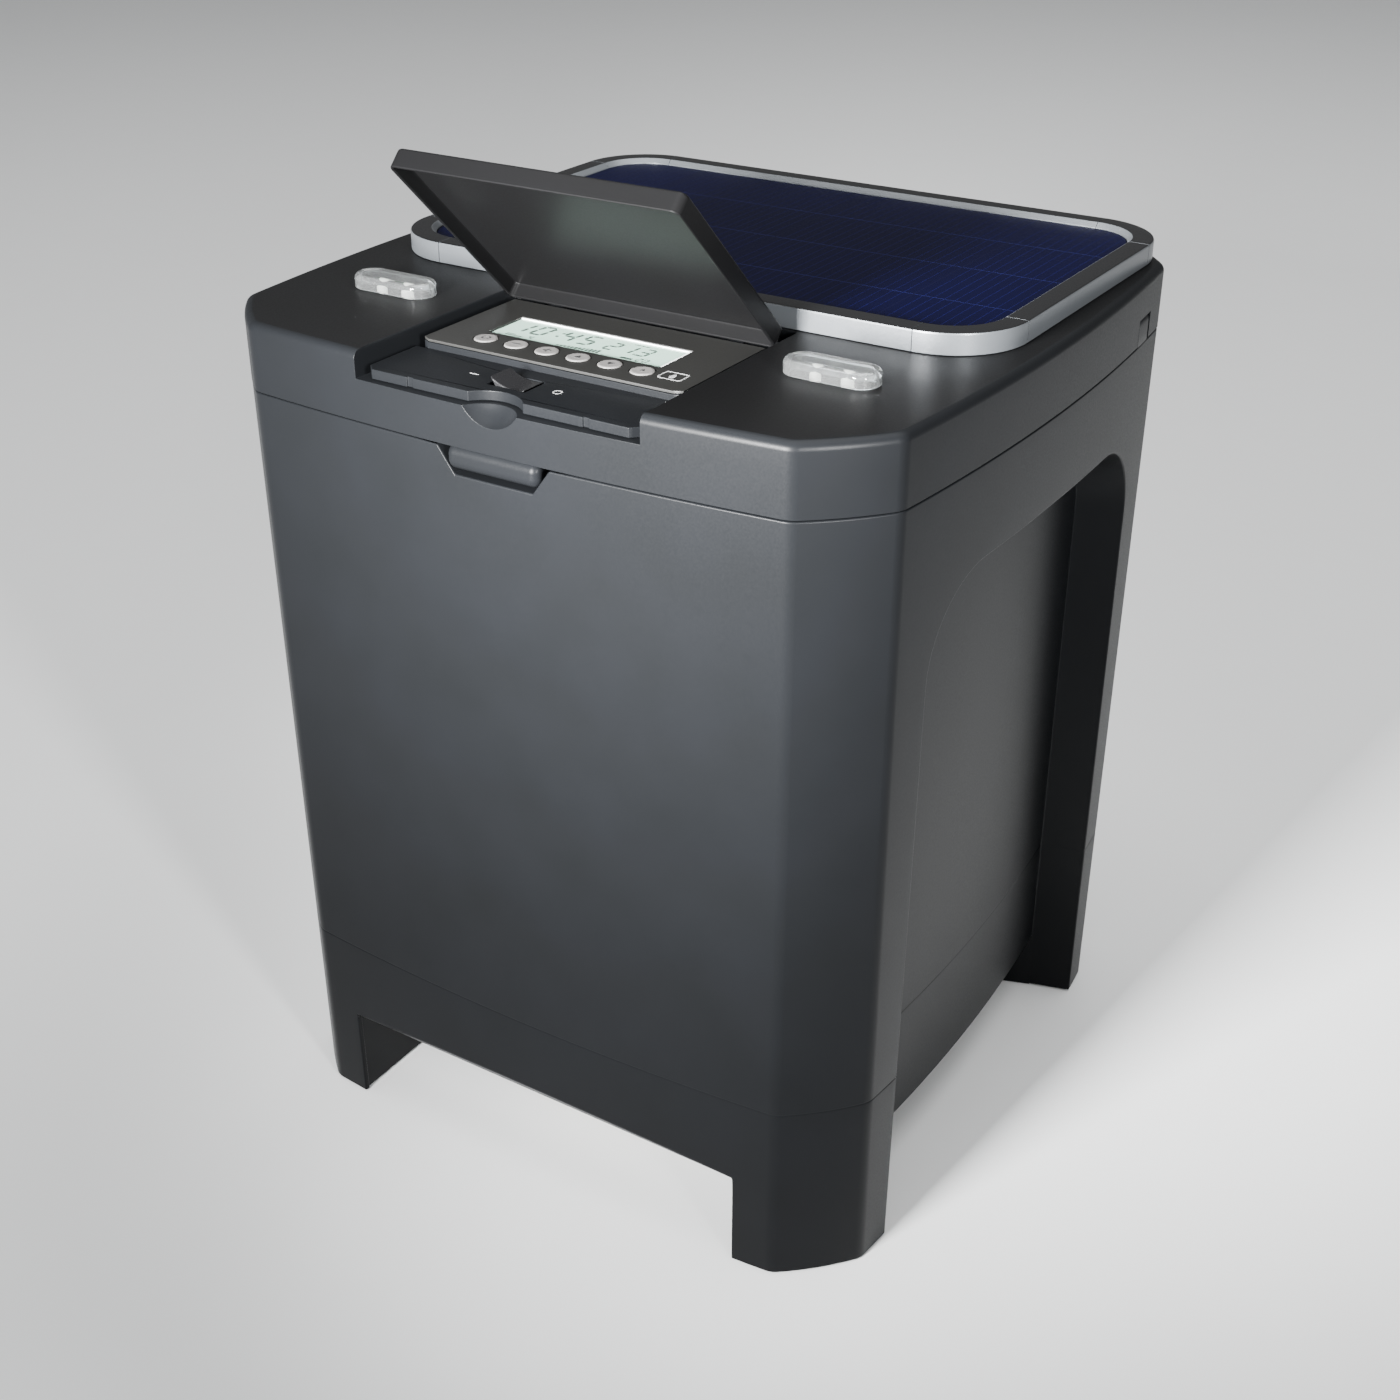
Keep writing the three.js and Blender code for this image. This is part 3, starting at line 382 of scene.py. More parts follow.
@dataclass(frozen=True)
class Finish:
    """A real material and how its surface was made.

    Attributes:
        name: the material and its process.
        colour: sRGB hex.
        shade: sRGB hex of its darker mottling.
        roughness, metallic, ior: shader values.
        grain: size of the surface texture, in millimetres.
        relief: depth of that texture, in millimetres.
        stretch: how much the texture is drawn out along x, y and z.
        wander: how far the roughness drifts over the surface texture.
        coat, transmission, glow: shader values for a clear coat, light let through and light given off.
    """

    name: str
    colour: str
    shade: str
    roughness: float
    metallic: float = 0.0
    ior: float = 1.5
    grain: float = 0.7
    relief: float = 0.02
    stretch: tuple[float, float, float] = (1.0, 1.0, 1.0)
    wander: float = 0.05
    coat: float = 0.0
    transmission: float = 0.0
    glow: float = 0.0

    def material(self) -> bpy.types.Material:
        """Returns the Blender material, made on first use."""
        known = bpy.data.materials.get(self.name)
        if known:
            return known
        made = bpy.data.materials.new(self.name)
        made.use_nodes = True
        self.paint(made.node_tree)
        return made

    def paint(self, tree: bpy.types.NodeTree) -> None:
        """Links mottled colour, drifting roughness and surface relief to the shader."""
        shader = tree.nodes["Principled BSDF"]
        spot = add_node(tree, "ShaderNodeTexCoord").outputs["Object"]
        drawn = add_node(tree, "ShaderNodeMapping", {"Vector": spot, "Scale": self.stretch}).outputs[0]
        fine = add_node(tree, "ShaderNodeTexNoise",
                        {"Vector": drawn, "Scale": 1 / (self.grain * MM), "Detail": 3.0})
        broad = add_node(tree, "ShaderNodeTexNoise",
                         {"Vector": spot, "Scale": 1 / (MOTTLE * MM), "Detail": 2.0})
        tone = add_node(tree, "ShaderNodeMix",
                        {"Factor": broad.outputs[0], 6: linear(self.colour), 7: linear(self.shade)},
                        data_type="RGBA")
        low, high = self.roughness - self.wander, self.roughness + self.wander
        rough = add_node(tree, "ShaderNodeMapRange",
                         {"Value": fine.outputs[0], "From Min": 0.3, "From Max": 0.7,
                          "To Min": low, "To Max": high})
        bump = add_node(tree, "ShaderNodeBump",
                        {"Height": fine.outputs[0], "Strength": 1.0, "Distance": self.relief * MM})
        tree.links.new(self.colouring(tree, spot, tone.outputs[2]), shader.inputs["Base Color"])
        tree.links.new(rough.outputs[0], shader.inputs["Roughness"])
        tree.links.new(bump.outputs[0], shader.inputs["Normal"])
        shader.inputs["Metallic"].default_value = self.metallic
        shader.inputs["IOR"].default_value = self.ior
        shader.inputs["Coat Weight"].default_value = self.coat
        shader.inputs["Coat Roughness"].default_value = 0.06
        shader.inputs["Transmission Weight"].default_value = self.transmission
        if self.glow:
            shader.inputs["Emission Color"].default_value = linear(self.colour)
            shader.inputs["Emission Strength"].default_value = self.glow

    def colouring(self, tree: bpy.types.NodeTree, spot: bpy.types.NodeSocket,
                  tone: bpy.types.NodeSocket) -> bpy.types.NodeSocket:
        """Returns the colour socket; a plain finish keeps its mottled tone."""
        return tone


@dataclass(frozen=True)
class SolarLaminate(Finish):
    """Blue silicon cells under film: dark wafers, hairline fingers, faint bus bars and gaps between wafers.

    Each line is its half pitch and width in millimetres, its sRGB hex, and the axis that it repeats along.
    """

    lines: tuple[tuple[float, float, str, str], ...] = (
        (26.0, 0.5, "#15173f", "Y"),
        (2.6, 0.3, "#090934", "X"),
        (52.0, 0.7, "#05051c", "X"),
    )

    def colouring(self, tree: bpy.types.NodeTree, spot: bpy.types.NodeSocket,
                  tone: bpy.types.NodeSocket) -> bpy.types.NodeSocket:
        """Adds each line where the place, folded to and fro over its half pitch, lies close to zero."""
        split = add_node(tree, "ShaderNodeSeparateXYZ", {0: spot})
        drawn = tone
        for pitch, width, colour, along in self.lines:
            place = add_node(tree, "ShaderNodeMath", {0: split.outputs[along], 1: pitch * MM},
                             operation="PINGPONG")
            near = add_node(tree, "ShaderNodeMath", {0: place.outputs[0], 1: width * MM / 2},
                            operation="LESS_THAN")
            mix = add_node(tree, "ShaderNodeMix", {"Factor": near.outputs[0], 6: drawn, 7: linear(colour)},
                           data_type="RGBA")
            drawn = mix.outputs[2]
        return drawn


# ABS from a spark-eroded mould: a fine even matt grain under broad, soft highlights. The index is set below
# real ABS, which has about 1.53, so that a pale floor stays faint in it. The other dark finishes do the same.
ABS_SATIN = Finish("abs_satin_moulded", "#0e0f11", "#0b0c0d", 0.38, ior=1.17, grain=0.9,
                   relief=0.006, wander=0.04)
# A copy of the same ABS with painted shade: the same grain, darker, on the lid top where it faces up and on
# the flap tray.
ABS_PAINTED_SHADE = Finish("abs_satin_painted_shade", "#0a0a0b", "#080808", 0.38, ior=1.18, grain=0.9,
                  relief=0.005, wander=0.03)
# ABS from a polished mould: smooth, with tight highlights.
ABS_GLOSS = Finish("abs_gloss_moulded", "#161617", "#121213", 0.26, ior=1.32, grain=1.4,
                   relief=0.002, wander=0.02)
# Printed polyester membrane film over the display: matt with a very fine grain.
FILM = Finish("polyester_film_printed", "#191918", "#151514", 0.42, ior=1.4, grain=0.5,
              relief=0.003, wander=0.03)
# Silicone keys: soft grey, dull.
KEY_SILICONE = Finish("silicone_key_moulded", "#5e5c5a", "#565453", 0.58, ior=1.43, grain=0.5, relief=0.006)
# Screen-printed inks, grey on the film and dark on the keys.
INK = Finish("screen_ink_grey", "#8f8f8f", "#858585", 0.5, ior=1.5, grain=0.4, relief=0.003)
INK_DARK = Finish("screen_ink_dark", "#232323", "#1e1e1e", 0.5, ior=1.5, grain=0.4, relief=0.003)
# Liquid-crystal glass over a pale green polariser, with painted light: a faint glow stands in for the front
# light that the open flap shades from it; then its printed segments and the pale edge of its light guide, a
# strip that paints the highlight where the edge catches the light.
LCD_GLASS_PAINTED_GLOW = Finish("lcd_glass_polarised_painted_glow", "#a3c1b2", "#98b7a7", 0.2, ior=1.4, grain=2.0, relief=0.0005,
                   wander=0.02, coat=0.3, glow=0.22)
LCD_SEGMENT = Finish("lcd_segment_dark", "#33403a", "#2e3a34", 0.3, ior=1.5, grain=2.0,
                     relief=0.0005, wander=0.02)
# A painted highlight: white for the strip where the glass's edge catches the light.
LCD_EDGE_PAINTED_HIGHLIGHT = Finish("lcd_edge_painted_highlight", "#f2f4f2", "#e8eae8", 0.35, ior=1.5, grain=0.8, relief=0.002)
# Polished clear acrylic, and the cast epoxy of a lit white diode.
ACRYLIC = Finish("acrylic_clear_polished", "#f7fafa", "#f2f6f6", 0.05, ior=1.49, grain=4.0, relief=0.0005,
                 wander=0.02, transmission=0.97)
LED_EPOXY = Finish("led_epoxy_white", "#f6f6f0", "#ecece4", 0.15, ior=1.54, grain=2.0, relief=0.001,
                   wander=0.03, glow=0.7)
# Grey-anodised aluminium extrusion, black lacquer along its top, and laminated silicon cells.
FRAME_METAL = Finish("aluminium_frame_anodised", "#515457", "#494c4f", 0.34, metallic=0.4, grain=0.5,
                     relief=0.004, wander=0.06)
FRAME_TOP = Finish("frame_black_lacquer", "#0a0a0b", "#080809", 0.36, ior=1.3, grain=0.8, relief=0.003)
CELLS = SolarLaminate("solar_cells_laminated", "#02021c", "#020216", 0.38, ior=1.1, grain=1.5, relief=0.001,
                      wander=0.03)
# Ground steel pins: their fine lines are drawn out along x.
STEEL = Finish("steel_ground", "#b9bbbd", "#a6a8aa", 0.28, metallic=1.0, grain=0.4, relief=0.004,
               stretch=(0.1, 1.0, 1.0), wander=0.07)
# Moulded rubber, polypropylene and nylon, a glass-fibre circuit board, and the battery's shrink wrap.
RUBBER = Finish("rubber_moulded", "#151515", "#101010", 0.78, ior=1.52, grain=0.6, relief=0.02)
PP_GREY = Finish("polypropylene_grey", "#4a4c4f", "#424447", 0.5, ior=1.49, grain=1.0, relief=0.01)
NYLON = Finish("nylon_natural", "#e2dfd2", "#d6d2c2", 0.45, ior=1.53, grain=0.8, relief=0.008)
BOARD = Finish("fibreglass_board_green", "#1f5a34", "#1a4d2c", 0.4, ior=1.55, grain=0.9, relief=0.01)
CELL_WRAP = Finish("pvc_shrink_wrap", "#22507c", "#1c4468", 0.3, ior=1.53, grain=3.0, relief=0.02)


# ---- Piece handling --------------------------------------------------------------------------------
def dress(piece: bpy.types.Object, body: Body, finishes: Sequence[Finish],
          stands_for: Sequence[str] = (), wall: float = 0.0, edge: float = 0.0) -> bpy.types.Object:
    """Gives a piece its finish, wall, soft edges and body.

    Args:
        piece: the new piece.
        body: the body that it rides on.
        finishes: its finishes, in the order of its face tags.
        stands_for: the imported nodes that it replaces.
        wall: wall thickness in millimetres, grown inwards from the surface.
        edge: width of its softened edges in millimetres.

    Returns:
        The piece.
    """
    for finish in finishes:
        piece.data.materials.append(finish.material())
    if wall:
        solid = piece.modifiers.new("wall", "SOLIDIFY")
        solid.thickness = wall * MM
        solid.offset = -1.0
        solid.use_even_offset = True
    if edge:
        soft = piece.modifiers.new("soft_edges", "BEVEL")
        soft.width = edge * MM
        soft.segments = 3
        soft.limit_method = "ANGLE"
        soft.angle_limit = BEVEL_ANGLE
        soft.use_clamp_overlap = False
    else:
        piece.data.set_sharp_from_angle(angle=SHARP_ANGLE)
    even = piece.modifiers.new("even_normals", "WEIGHTED_NORMAL")
    even.keep_sharp = True
    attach(piece, body.value)
    if stands_for:
        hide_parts(*stands_for)
    LOG.info("%s: %d faces on %s", piece.name, len(piece.data.polygons), body.value)
    return piece


@dataclass(frozen=True)
class LidHinge:
    """The rear hinge line that the body's ears and the lid's knuckles share. Sizes are in millimetres."""

    x: float = 105.0
    y: float = 184.5
    z: float = 403.5
    barrel: float = 5.0
    bore: float = 2.5

    def arm(self, start: float, end: float, steps: int, root: float, low: float,
            high: float) -> list[np.ndarray]:
        """The section of a barrel on an arm, with the bore for the pin.

        Args:
            start, end: the barrel's arc, in degrees.
            steps: points round the arc.
            root: y of the arm's root.
            low, high: heights of the root's two corners, from the pin.

        Returns:
            The outline and the bore.
        """
        a = np.radians(np.linspace(start, end, steps))
        barrel = np.column_stack([self.y + self.barrel * np.cos(a), self.z + self.barrel * np.sin(a)])
        outline = np.concatenate([[[root, self.z + low]], barrel, [[root, self.z + high]]])
        return [outline, circle(self.y, self.z, self.bore, 24)(0)]


HINGE = LidHinge()


# ---- Body ------------------------------------------------------------------------------------------
@dataclass
class BodyCasing:
    """The moulded body: bowed faces, arched side recesses, four legs, skirts and a grip pocket.

    Sizes are in millimetres. Heights are above the ground.
    """

    bottom: float = 0.8
    top: float = 403.2
    wall: float = 3.0
    leg_inner: float = 120.0
    skirt: float = 53.4
    skirt_depth: float = 175.3
    skirt_slope: float = 17.6 / 13.0
    skirt_return: float = 3.3
    panel_bottom: float = 36.0
    leg_rows: tuple[float, ...] = (12.0, 24.0, 45.0)
    knee_row: int = 5
    groove: float = 101.0
    groove_half: float = 0.3
    groove_margin: float = 0.8
    groove_depth: float = 0.3
    arch_width: float = 114.0
    arch_spring: float = 311.0
    arch_radius: float = 45.0
    arch_draft: float = 0.015
    lead_steps: int = 7
    flat_steps: int = 8
    rule_steps: int = 5
    recess: float = 24.0
    flare: float = 0.3
    grip_top: float = 30.0
    grip_bottom: float = 21.0
    grip_low: float = 391.0
    grip_rear: float = 168.5
    liner_top: float = 59.0
    foot_plate: float = 4.0
    tongue_gap: float = 1.2

    def levels(self) -> tuple[np.ndarray, np.ndarray]:
        """The heights of every row, and how deep the scribed line cuts at each."""
        knee = float(self.hem(np.array([self.leg_inner]))[0])
        g, half, margin = self.groove, self.groove_half, self.groove_margin
        parts = [np.sort([self.bottom, self.panel_bottom, *self.leg_rows]), np.linspace(knee, g - margin, 4),
                 np.array([g - half, g + half]), np.linspace(g + margin, self.arch_spring, 13),
                 np.linspace(self.arch_spring, self.top, 9)[1:]]
        heights = np.concatenate(parts)
        depth = np.where(np.abs(heights - g) < (half + margin) / 2, self.groove_depth, 0.0)
        return heights, depth

    def hem(self, x: np.ndarray) -> np.ndarray:
        """Height where the front face meets the sloping underside of the skirt.

        The slope is z = skirt + (d - skirt_depth) slope, with d the face's distance from the middle.
        """
        z = np.full(len(x), self.skirt)
        for _ in range(4):
            z = self.skirt + (PLAN.front(x) * PLAN.scale(z) - self.skirt_depth) * self.skirt_slope
        return z

    def upright(self, skin: Skin, columns: Callable[[float], np.ndarray], heights: np.ndarray,
                depth: np.ndarray, sign: tuple[int, int]) -> None:
        """A wall whose rows repeat plan columns, drawn in by the taper and by the scribed line."""
        rows = [columns(cut) * PLAN.scale(z) * np.array(sign) for z, cut in zip(heights, depth)]
        skin.grid(np.stack([lift(row, z) for row, z in zip(rows, heights)]))

    def leg_columns(self, cut: float) -> np.ndarray:
        """Plan points across the front of one leg."""
        x = np.linspace(self.leg_inner, PLAN.reach(cut), 5)
        return np.column_stack([x, PLAN.front(x, cut)])

    def face_x(self, cut: float) -> np.ndarray:
        """Columns across a whole front or rear face, with one at each corner of the grip pocket."""
        grip = np.linspace(self.grip_bottom, self.grip_top, 4)
        beside = np.linspace(self.grip_top, self.leg_inner, 9)[1:]
        right = np.concatenate([np.linspace(0, self.grip_bottom, 5)[:-1], grip, beside,
                                self.leg_columns(cut)[1:, 0]])
        return np.concatenate([-right[:0:-1], right])

    def rim(self, x: np.ndarray, rear: bool) -> np.ndarray:
        """Height of a face's top edge, which dips round the grip pocket at the front."""
        if rear:
            return np.full(len(x), self.top)
        share = (np.abs(x) - self.grip_bottom) / (self.grip_top - self.grip_bottom)
        return self.grip_low + np.clip(share, 0, 1) * (self.top - self.grip_low)

    def face(self, skin: Skin, rear: bool) -> None:
        """A bowed front or rear face above the legs, with its skirt's sloping underside."""
        heights, depth = self.levels()
        sign = 1 if rear else -1
        knee = self.knee_row
        ring = int(np.argmax(depth > 0))
        rows = []
        for z, cut, i in zip(heights[knee:], depth[knee:], range(knee, len(heights))):
            x = self.face_x(cut)
            between = np.abs(x) < self.leg_inner + CLOSE
            hem = np.where(between, self.hem(np.clip(x, -self.leg_inner, self.leg_inner)), heights[knee])
            if i < ring:
                share = (z - heights[knee]) / (heights[ring - 1] - heights[knee])
                level = hem + share * (heights[ring - 1] - hem)
            elif cut > 0:
                level = np.full(len(x), z)
            else:
                share = (z - heights[ring + 2]) / (self.top - heights[ring + 2])
                level = heights[ring + 2] + share * (self.rim(x, rear) - heights[ring + 2])
            scale = PLAN.scale(level)
            rows.append(np.column_stack([x * scale, sign * PLAN.front(x, cut) * scale, level]))
        grid = np.stack(rows)
        skin.grid(grid)
        inner = np.abs(self.face_x(0.0)) < self.leg_inner + CLOSE
        edge = grid[0, inner]
        flat = np.ones(len(edge))
        lip = np.column_stack([edge[:, 0], flat * sign * self.skirt_depth, flat * self.skirt])
        back = lip - np.array([0, sign * self.skirt_return, 0])
        skin.grid(np.stack([edge, lip, back]))
        if not rear:
            self.grip(skin, grid[-1])

    def grip(self, skin: Skin, rim: np.ndarray) -> None:
        """The pocket behind the lid's lip: its floor runs straight back from the dipped rim."""
        edge = rim[np.abs(rim[:, 0]) < self.grip_top + CLOSE]
        back = np.array([0, 1, 0]) * (-self.grip_rear - edge[:, 1:2])
        rows = [edge + share * back for share in (0, 0.5, 1)]
        skin.grid(np.stack(rows))
        top = rows[-1].copy()
        top[:, 2] = self.top
        skin.grid(np.stack([rows[-1], (rows[-1] + top) / 2, top]))

    def arch(self) -> tuple[np.ndarray, np.ndarray, np.ndarray, np.ndarray]:
        """The side recess outline from the front leg over the top, and the face's edge opposite each point.

        Returns:
            The outline at (y, z), its outward directions, the face's own edge at (y, z), and the scribed
            line's depth at each point. The outline is straight up to the spring, then a quarter circle.
        """
        heights, depth = self.levels()
        reach = PLAN.reach()
        spring, centre = self.arch_spring, self.arch_width - self.arch_radius
        legs = heights[heights <= spring + CLOSE]
        rise = heights[heights > spring + CLOSE]
        count = len(heights)
        along = np.linspace(-reach, -centre, self.lead_steps + 1)[1:]
        flat = np.linspace(-centre, 0, self.flat_steps + 1)[1:]
        turn = np.concatenate([np.linspace(0, math.pi / 4, len(rise) + 1)[1:],
                               np.linspace(math.pi / 4, math.pi / 2, len(along) + 1)[1:]])
        width = self.arch_width + (spring - legs) * self.arch_draft
        y = np.concatenate([-width, -centre - self.arch_radius * np.cos(turn), flat])
        z = np.concatenate([legs, spring + self.arch_radius * np.sin(turn),
                            np.full(len(flat), spring + self.arch_radius)])
        out = np.concatenate([np.tile([-1.0, 0.0], (len(legs), 1)),
                              np.column_stack([-np.cos(turn), np.sin(turn)]),
                              np.tile([0.0, 1.0], (len(flat), 1))])
        edge_y = np.concatenate([np.full(count, -reach), along, flat])
        edge_z = np.concatenate([heights, np.full(len(along) + len(flat), self.top)])
        edge_y[:count] *= PLAN.scale(heights)
        edge_y[count:] *= PLAN.scale(self.top)
        cut = np.zeros(len(y))
        cut[:count] = depth
        return np.column_stack([y, z]), out, np.column_stack([edge_y, edge_z]), cut

    def flank(self, skin: Skin, sign: int) -> None:
        """One side: the outer face as a sheet ruled from arch to edge, the flared reveal and the inner panel.

        A point between arch a and edge e is a + (e - a) v, set on the bowed face. The reveal runs from the
        panel to the face along the outline, which grows by flare millimetres for each millimetre outwards.
        """
        outline, out, edge, cut = self.arch()

        def face_depth(at: np.ndarray, inset: float) -> np.ndarray:
            """Distance from the middle to the side surface, drawn in by inset, at (y, z) points."""
            scale = PLAN.scale(at[:, 1])
            bare = np.array([float(PLAN.side(y / s, inset)) for (y, _), s in zip(at, scale)])
            return bare * scale

        def grown(inset: float) -> tuple[np.ndarray, np.ndarray]:
            """The outline where it meets the surface drawn in by inset, with that surface's distance."""
            at = outline
            for _ in range(3):
                depth = face_depth(at, inset)
                at = outline + out * ((depth - PLAN.half) * self.flare)[:, None]
                at[:, 1] = np.where(out[:, 1] == 0, outline[:, 1], at[:, 1])
            return at, face_depth(at, inset)

        def both(y: np.ndarray, z: np.ndarray, x: np.ndarray) -> np.ndarray:
            """Mirrors a front half line to a whole one and places it on this side."""
            half = np.column_stack([x * sign, y, z])
            return np.concatenate([half, half[-2::-1] * [1, -1, 1]])

        near, _ = grown(0.0)
        rows = []
        for share in np.linspace(0, 1, self.rule_steps + 1)[:-1]:
            at = near + (edge - near) * share
            rows.append(both(at[:, 0], at[:, 1], face_depth(at, 0.0) - cut))
        rows.append(self.flank_edge(edge, sign))
        skin.grid(np.stack(rows))
        far, far_x = grown(self.recess)
        inner = both(far[:, 0], far[:, 1], far_x - cut)
        skin.grid(np.stack([inner, inner + (rows[0] - inner) * 0.5, rows[0]]))
        self.panel(skin, inner, sign, cut)

    def flank_edge(self, edge: np.ndarray, sign: int) -> np.ndarray:
        """The outer edge of a side face, exactly where the chamfers begin."""
        heights, depth = self.levels()
        count = len(heights)
        reach = np.array([PLAN.reach(c) for c in depth])
        scale = PLAN.scale(heights)
        x = np.array([float(PLAN.side(PLAN.reach(c), c)) for c in depth]) * scale
        upright = np.column_stack([x * sign, -reach * scale, heights])
        rest = edge[count:]
        s = float(PLAN.scale(self.top))
        top = np.column_stack([PLAN.side(rest[:, 0] / s) * s * sign, rest[:, 0], rest[:, 1]])
        half = np.concatenate([upright, top])
        return np.concatenate([half, half[-2::-1] * [1, -1, 1]])

    def panel(self, skin: Skin, inner: np.ndarray, sign: int, cut: np.ndarray) -> None:
        """The bowed panel at the back of the recess, ruled between the two sides of the arch."""
        count = (len(inner) + 1) // 2
        flat = self.flat_steps
        first = int(np.argmax(inner[:, 2] >= self.panel_bottom - CLOSE))
        left = inner[first:count - flat]
        share = np.linspace(-1, 1, 2 * flat + 1)
        y = -left[:, 1:2] * share
        z = np.repeat(left[:, 2:3], 2 * flat + 1, axis=1)
        scale = PLAN.scale(z)
        x = PLAN.side(y / scale, self.recess) * scale - cut[first:count - flat, None]
        grid = np.stack([x * sign, y, z], axis=-1)
        grid[:, 0] = left
        grid[:, -1] = left * [1, -1, 1]
        grid[-1] = inner[count - flat - 1:count + flat]
        skin.grid(grid)

    def shell(self) -> bpy.types.Object:
        """Builds the casing's outer surface."""
        skin = Skin()
        heights, depth = self.levels()
        for sx in (-1, 1):
            for sy in (-1, 1):
                self.upright(skin, PLAN.chamfer, heights, depth, (sx, sy))
                below = slice(0, self.knee_row + 1)
                self.upright(skin, self.leg_columns, heights[below], depth[below], (sx, sy))
            self.flank(skin, sx)
        self.face(skin, rear=False)
        self.face(skin, rear=True)
        return skin.build("body_casing")

    def leg_liner(self, name: str, sx: int, sy: int) -> bpy.types.Object:
        """The two inner walls of a leg and the plate that closes its foot."""
        walls = np.array([[120, 174.5], [120, 101.5], [121.5, 100.4], [153.4, 111.8], [152.4, 114.6],
                          [123, 103.8], [123, 174.5]])
        plate = np.array([[121, 173.5], [121, 102], [153, 113.5], [172.5, 119.8], [173.4, 138],
                          [138, 173.4]])
        skin = Skin()
        skin.prism([walls * [sx, sy]], self.bottom, self.liner_top)
        skin.prism([plate * [sx, sy]], self.bottom, self.foot_plate)
        return skin.build(name)

    def tongue(self, name: str, sign: int) -> bpy.types.Object:
        """A locating tongue that stands up inside the lid's notch, from (height, inset) pairs."""
        y = np.linspace(NOTCH[0] + self.tongue_gap, NOTCH[1] - self.tongue_gap, 9)
        profile = ((397.0, 3.2), (403.2, 0.25), (409.0, 0.25), (413.0, 0.3), (415.2, 0.6), (416.0, 1.4))
        rows = [np.column_stack([sign * PLAN.side(y, i), y, np.full(len(y), h)]) for h, i in profile]
        skin = Skin()
        outer = np.stack(rows)
        inner = outer.copy()
        inner[:, :, 0] = sign * (PLAN.side(sum(NOTCH) / 2) - 3.4)
        skin.grid(outer)
        skin.grid(inner)
        ring = [np.concatenate([g[0], g[1:, -1], g[-1, -2::-1], g[-2:0:-1, 0]]) for g in (outer, inner)]
        skin.grid(np.stack(ring), closed=True)
        return skin.build(name)

    def ears(self, side: str, middle: float) -> bpy.types.Object:
        """The two ears of one lid hinge, each a barrel on a short arm with a bore for the pin."""
        section = HINGE.arm(-75, 130, 22, 176.6, -16, -1.2)
        skin = Skin()
        for offset in (-13, 7):
            skin.prism(section, middle + offset, middle + offset + 6, Axis.X)
        return skin.build(f"hinge_ears_{side}")

    def make(self) -> None:
        """Builds and dresses every part of the body casing."""
        dress(self.shell(), Body.BODY, [ABS_SATIN], ["body_shell"], wall=self.wall, edge=0.8)
        for sx, across in ((-1, "left"), (1, "right")):
            for sy, along in ((-1, "front"), (1, "rear")):
                dress(self.leg_liner(f"leg_liner_{along}_{across}", sx, sy), Body.BODY, [ABS_SATIN],
                      ["body_shell"], edge=0.5)
            dress(self.tongue(f"locating_tongue_{across}", sx), Body.BODY, [ABS_SATIN], ["body_shell"])
            dress(self.ears(across, sx * HINGE.x), Body.BODY, [ABS_SATIN], ["body_shell"], edge=0.5)


@dataclass
class Feet:
    """Four round rubber pads let into the legs."""

    place: float = 146.0
    radius: float = 14.0
    height: float = 3.0

    def make(self) -> None:
        """Each pad is a disc with rounded rims and a shallow ring sunk in its sole."""
        steps = [(9.0, 0.6), (8.0, 0.0), *foot_fillet(0.8, 0.0), (0.0, self.height - 0.2), (0.2, self.height)]
        for sx, across in ((-1, "left"), (1, "right")):
            for sy, along in ((-1, "front"), (1, "rear")):
                outline = circle(sx * self.place, sy * self.place, self.radius)
                pad = stack_piece(f"rubber_foot_{along}_{across}", outline, steps)
                dress(pad, Body.BODY, [RUBBER], [f"foot_pad_{along}_{across}"])


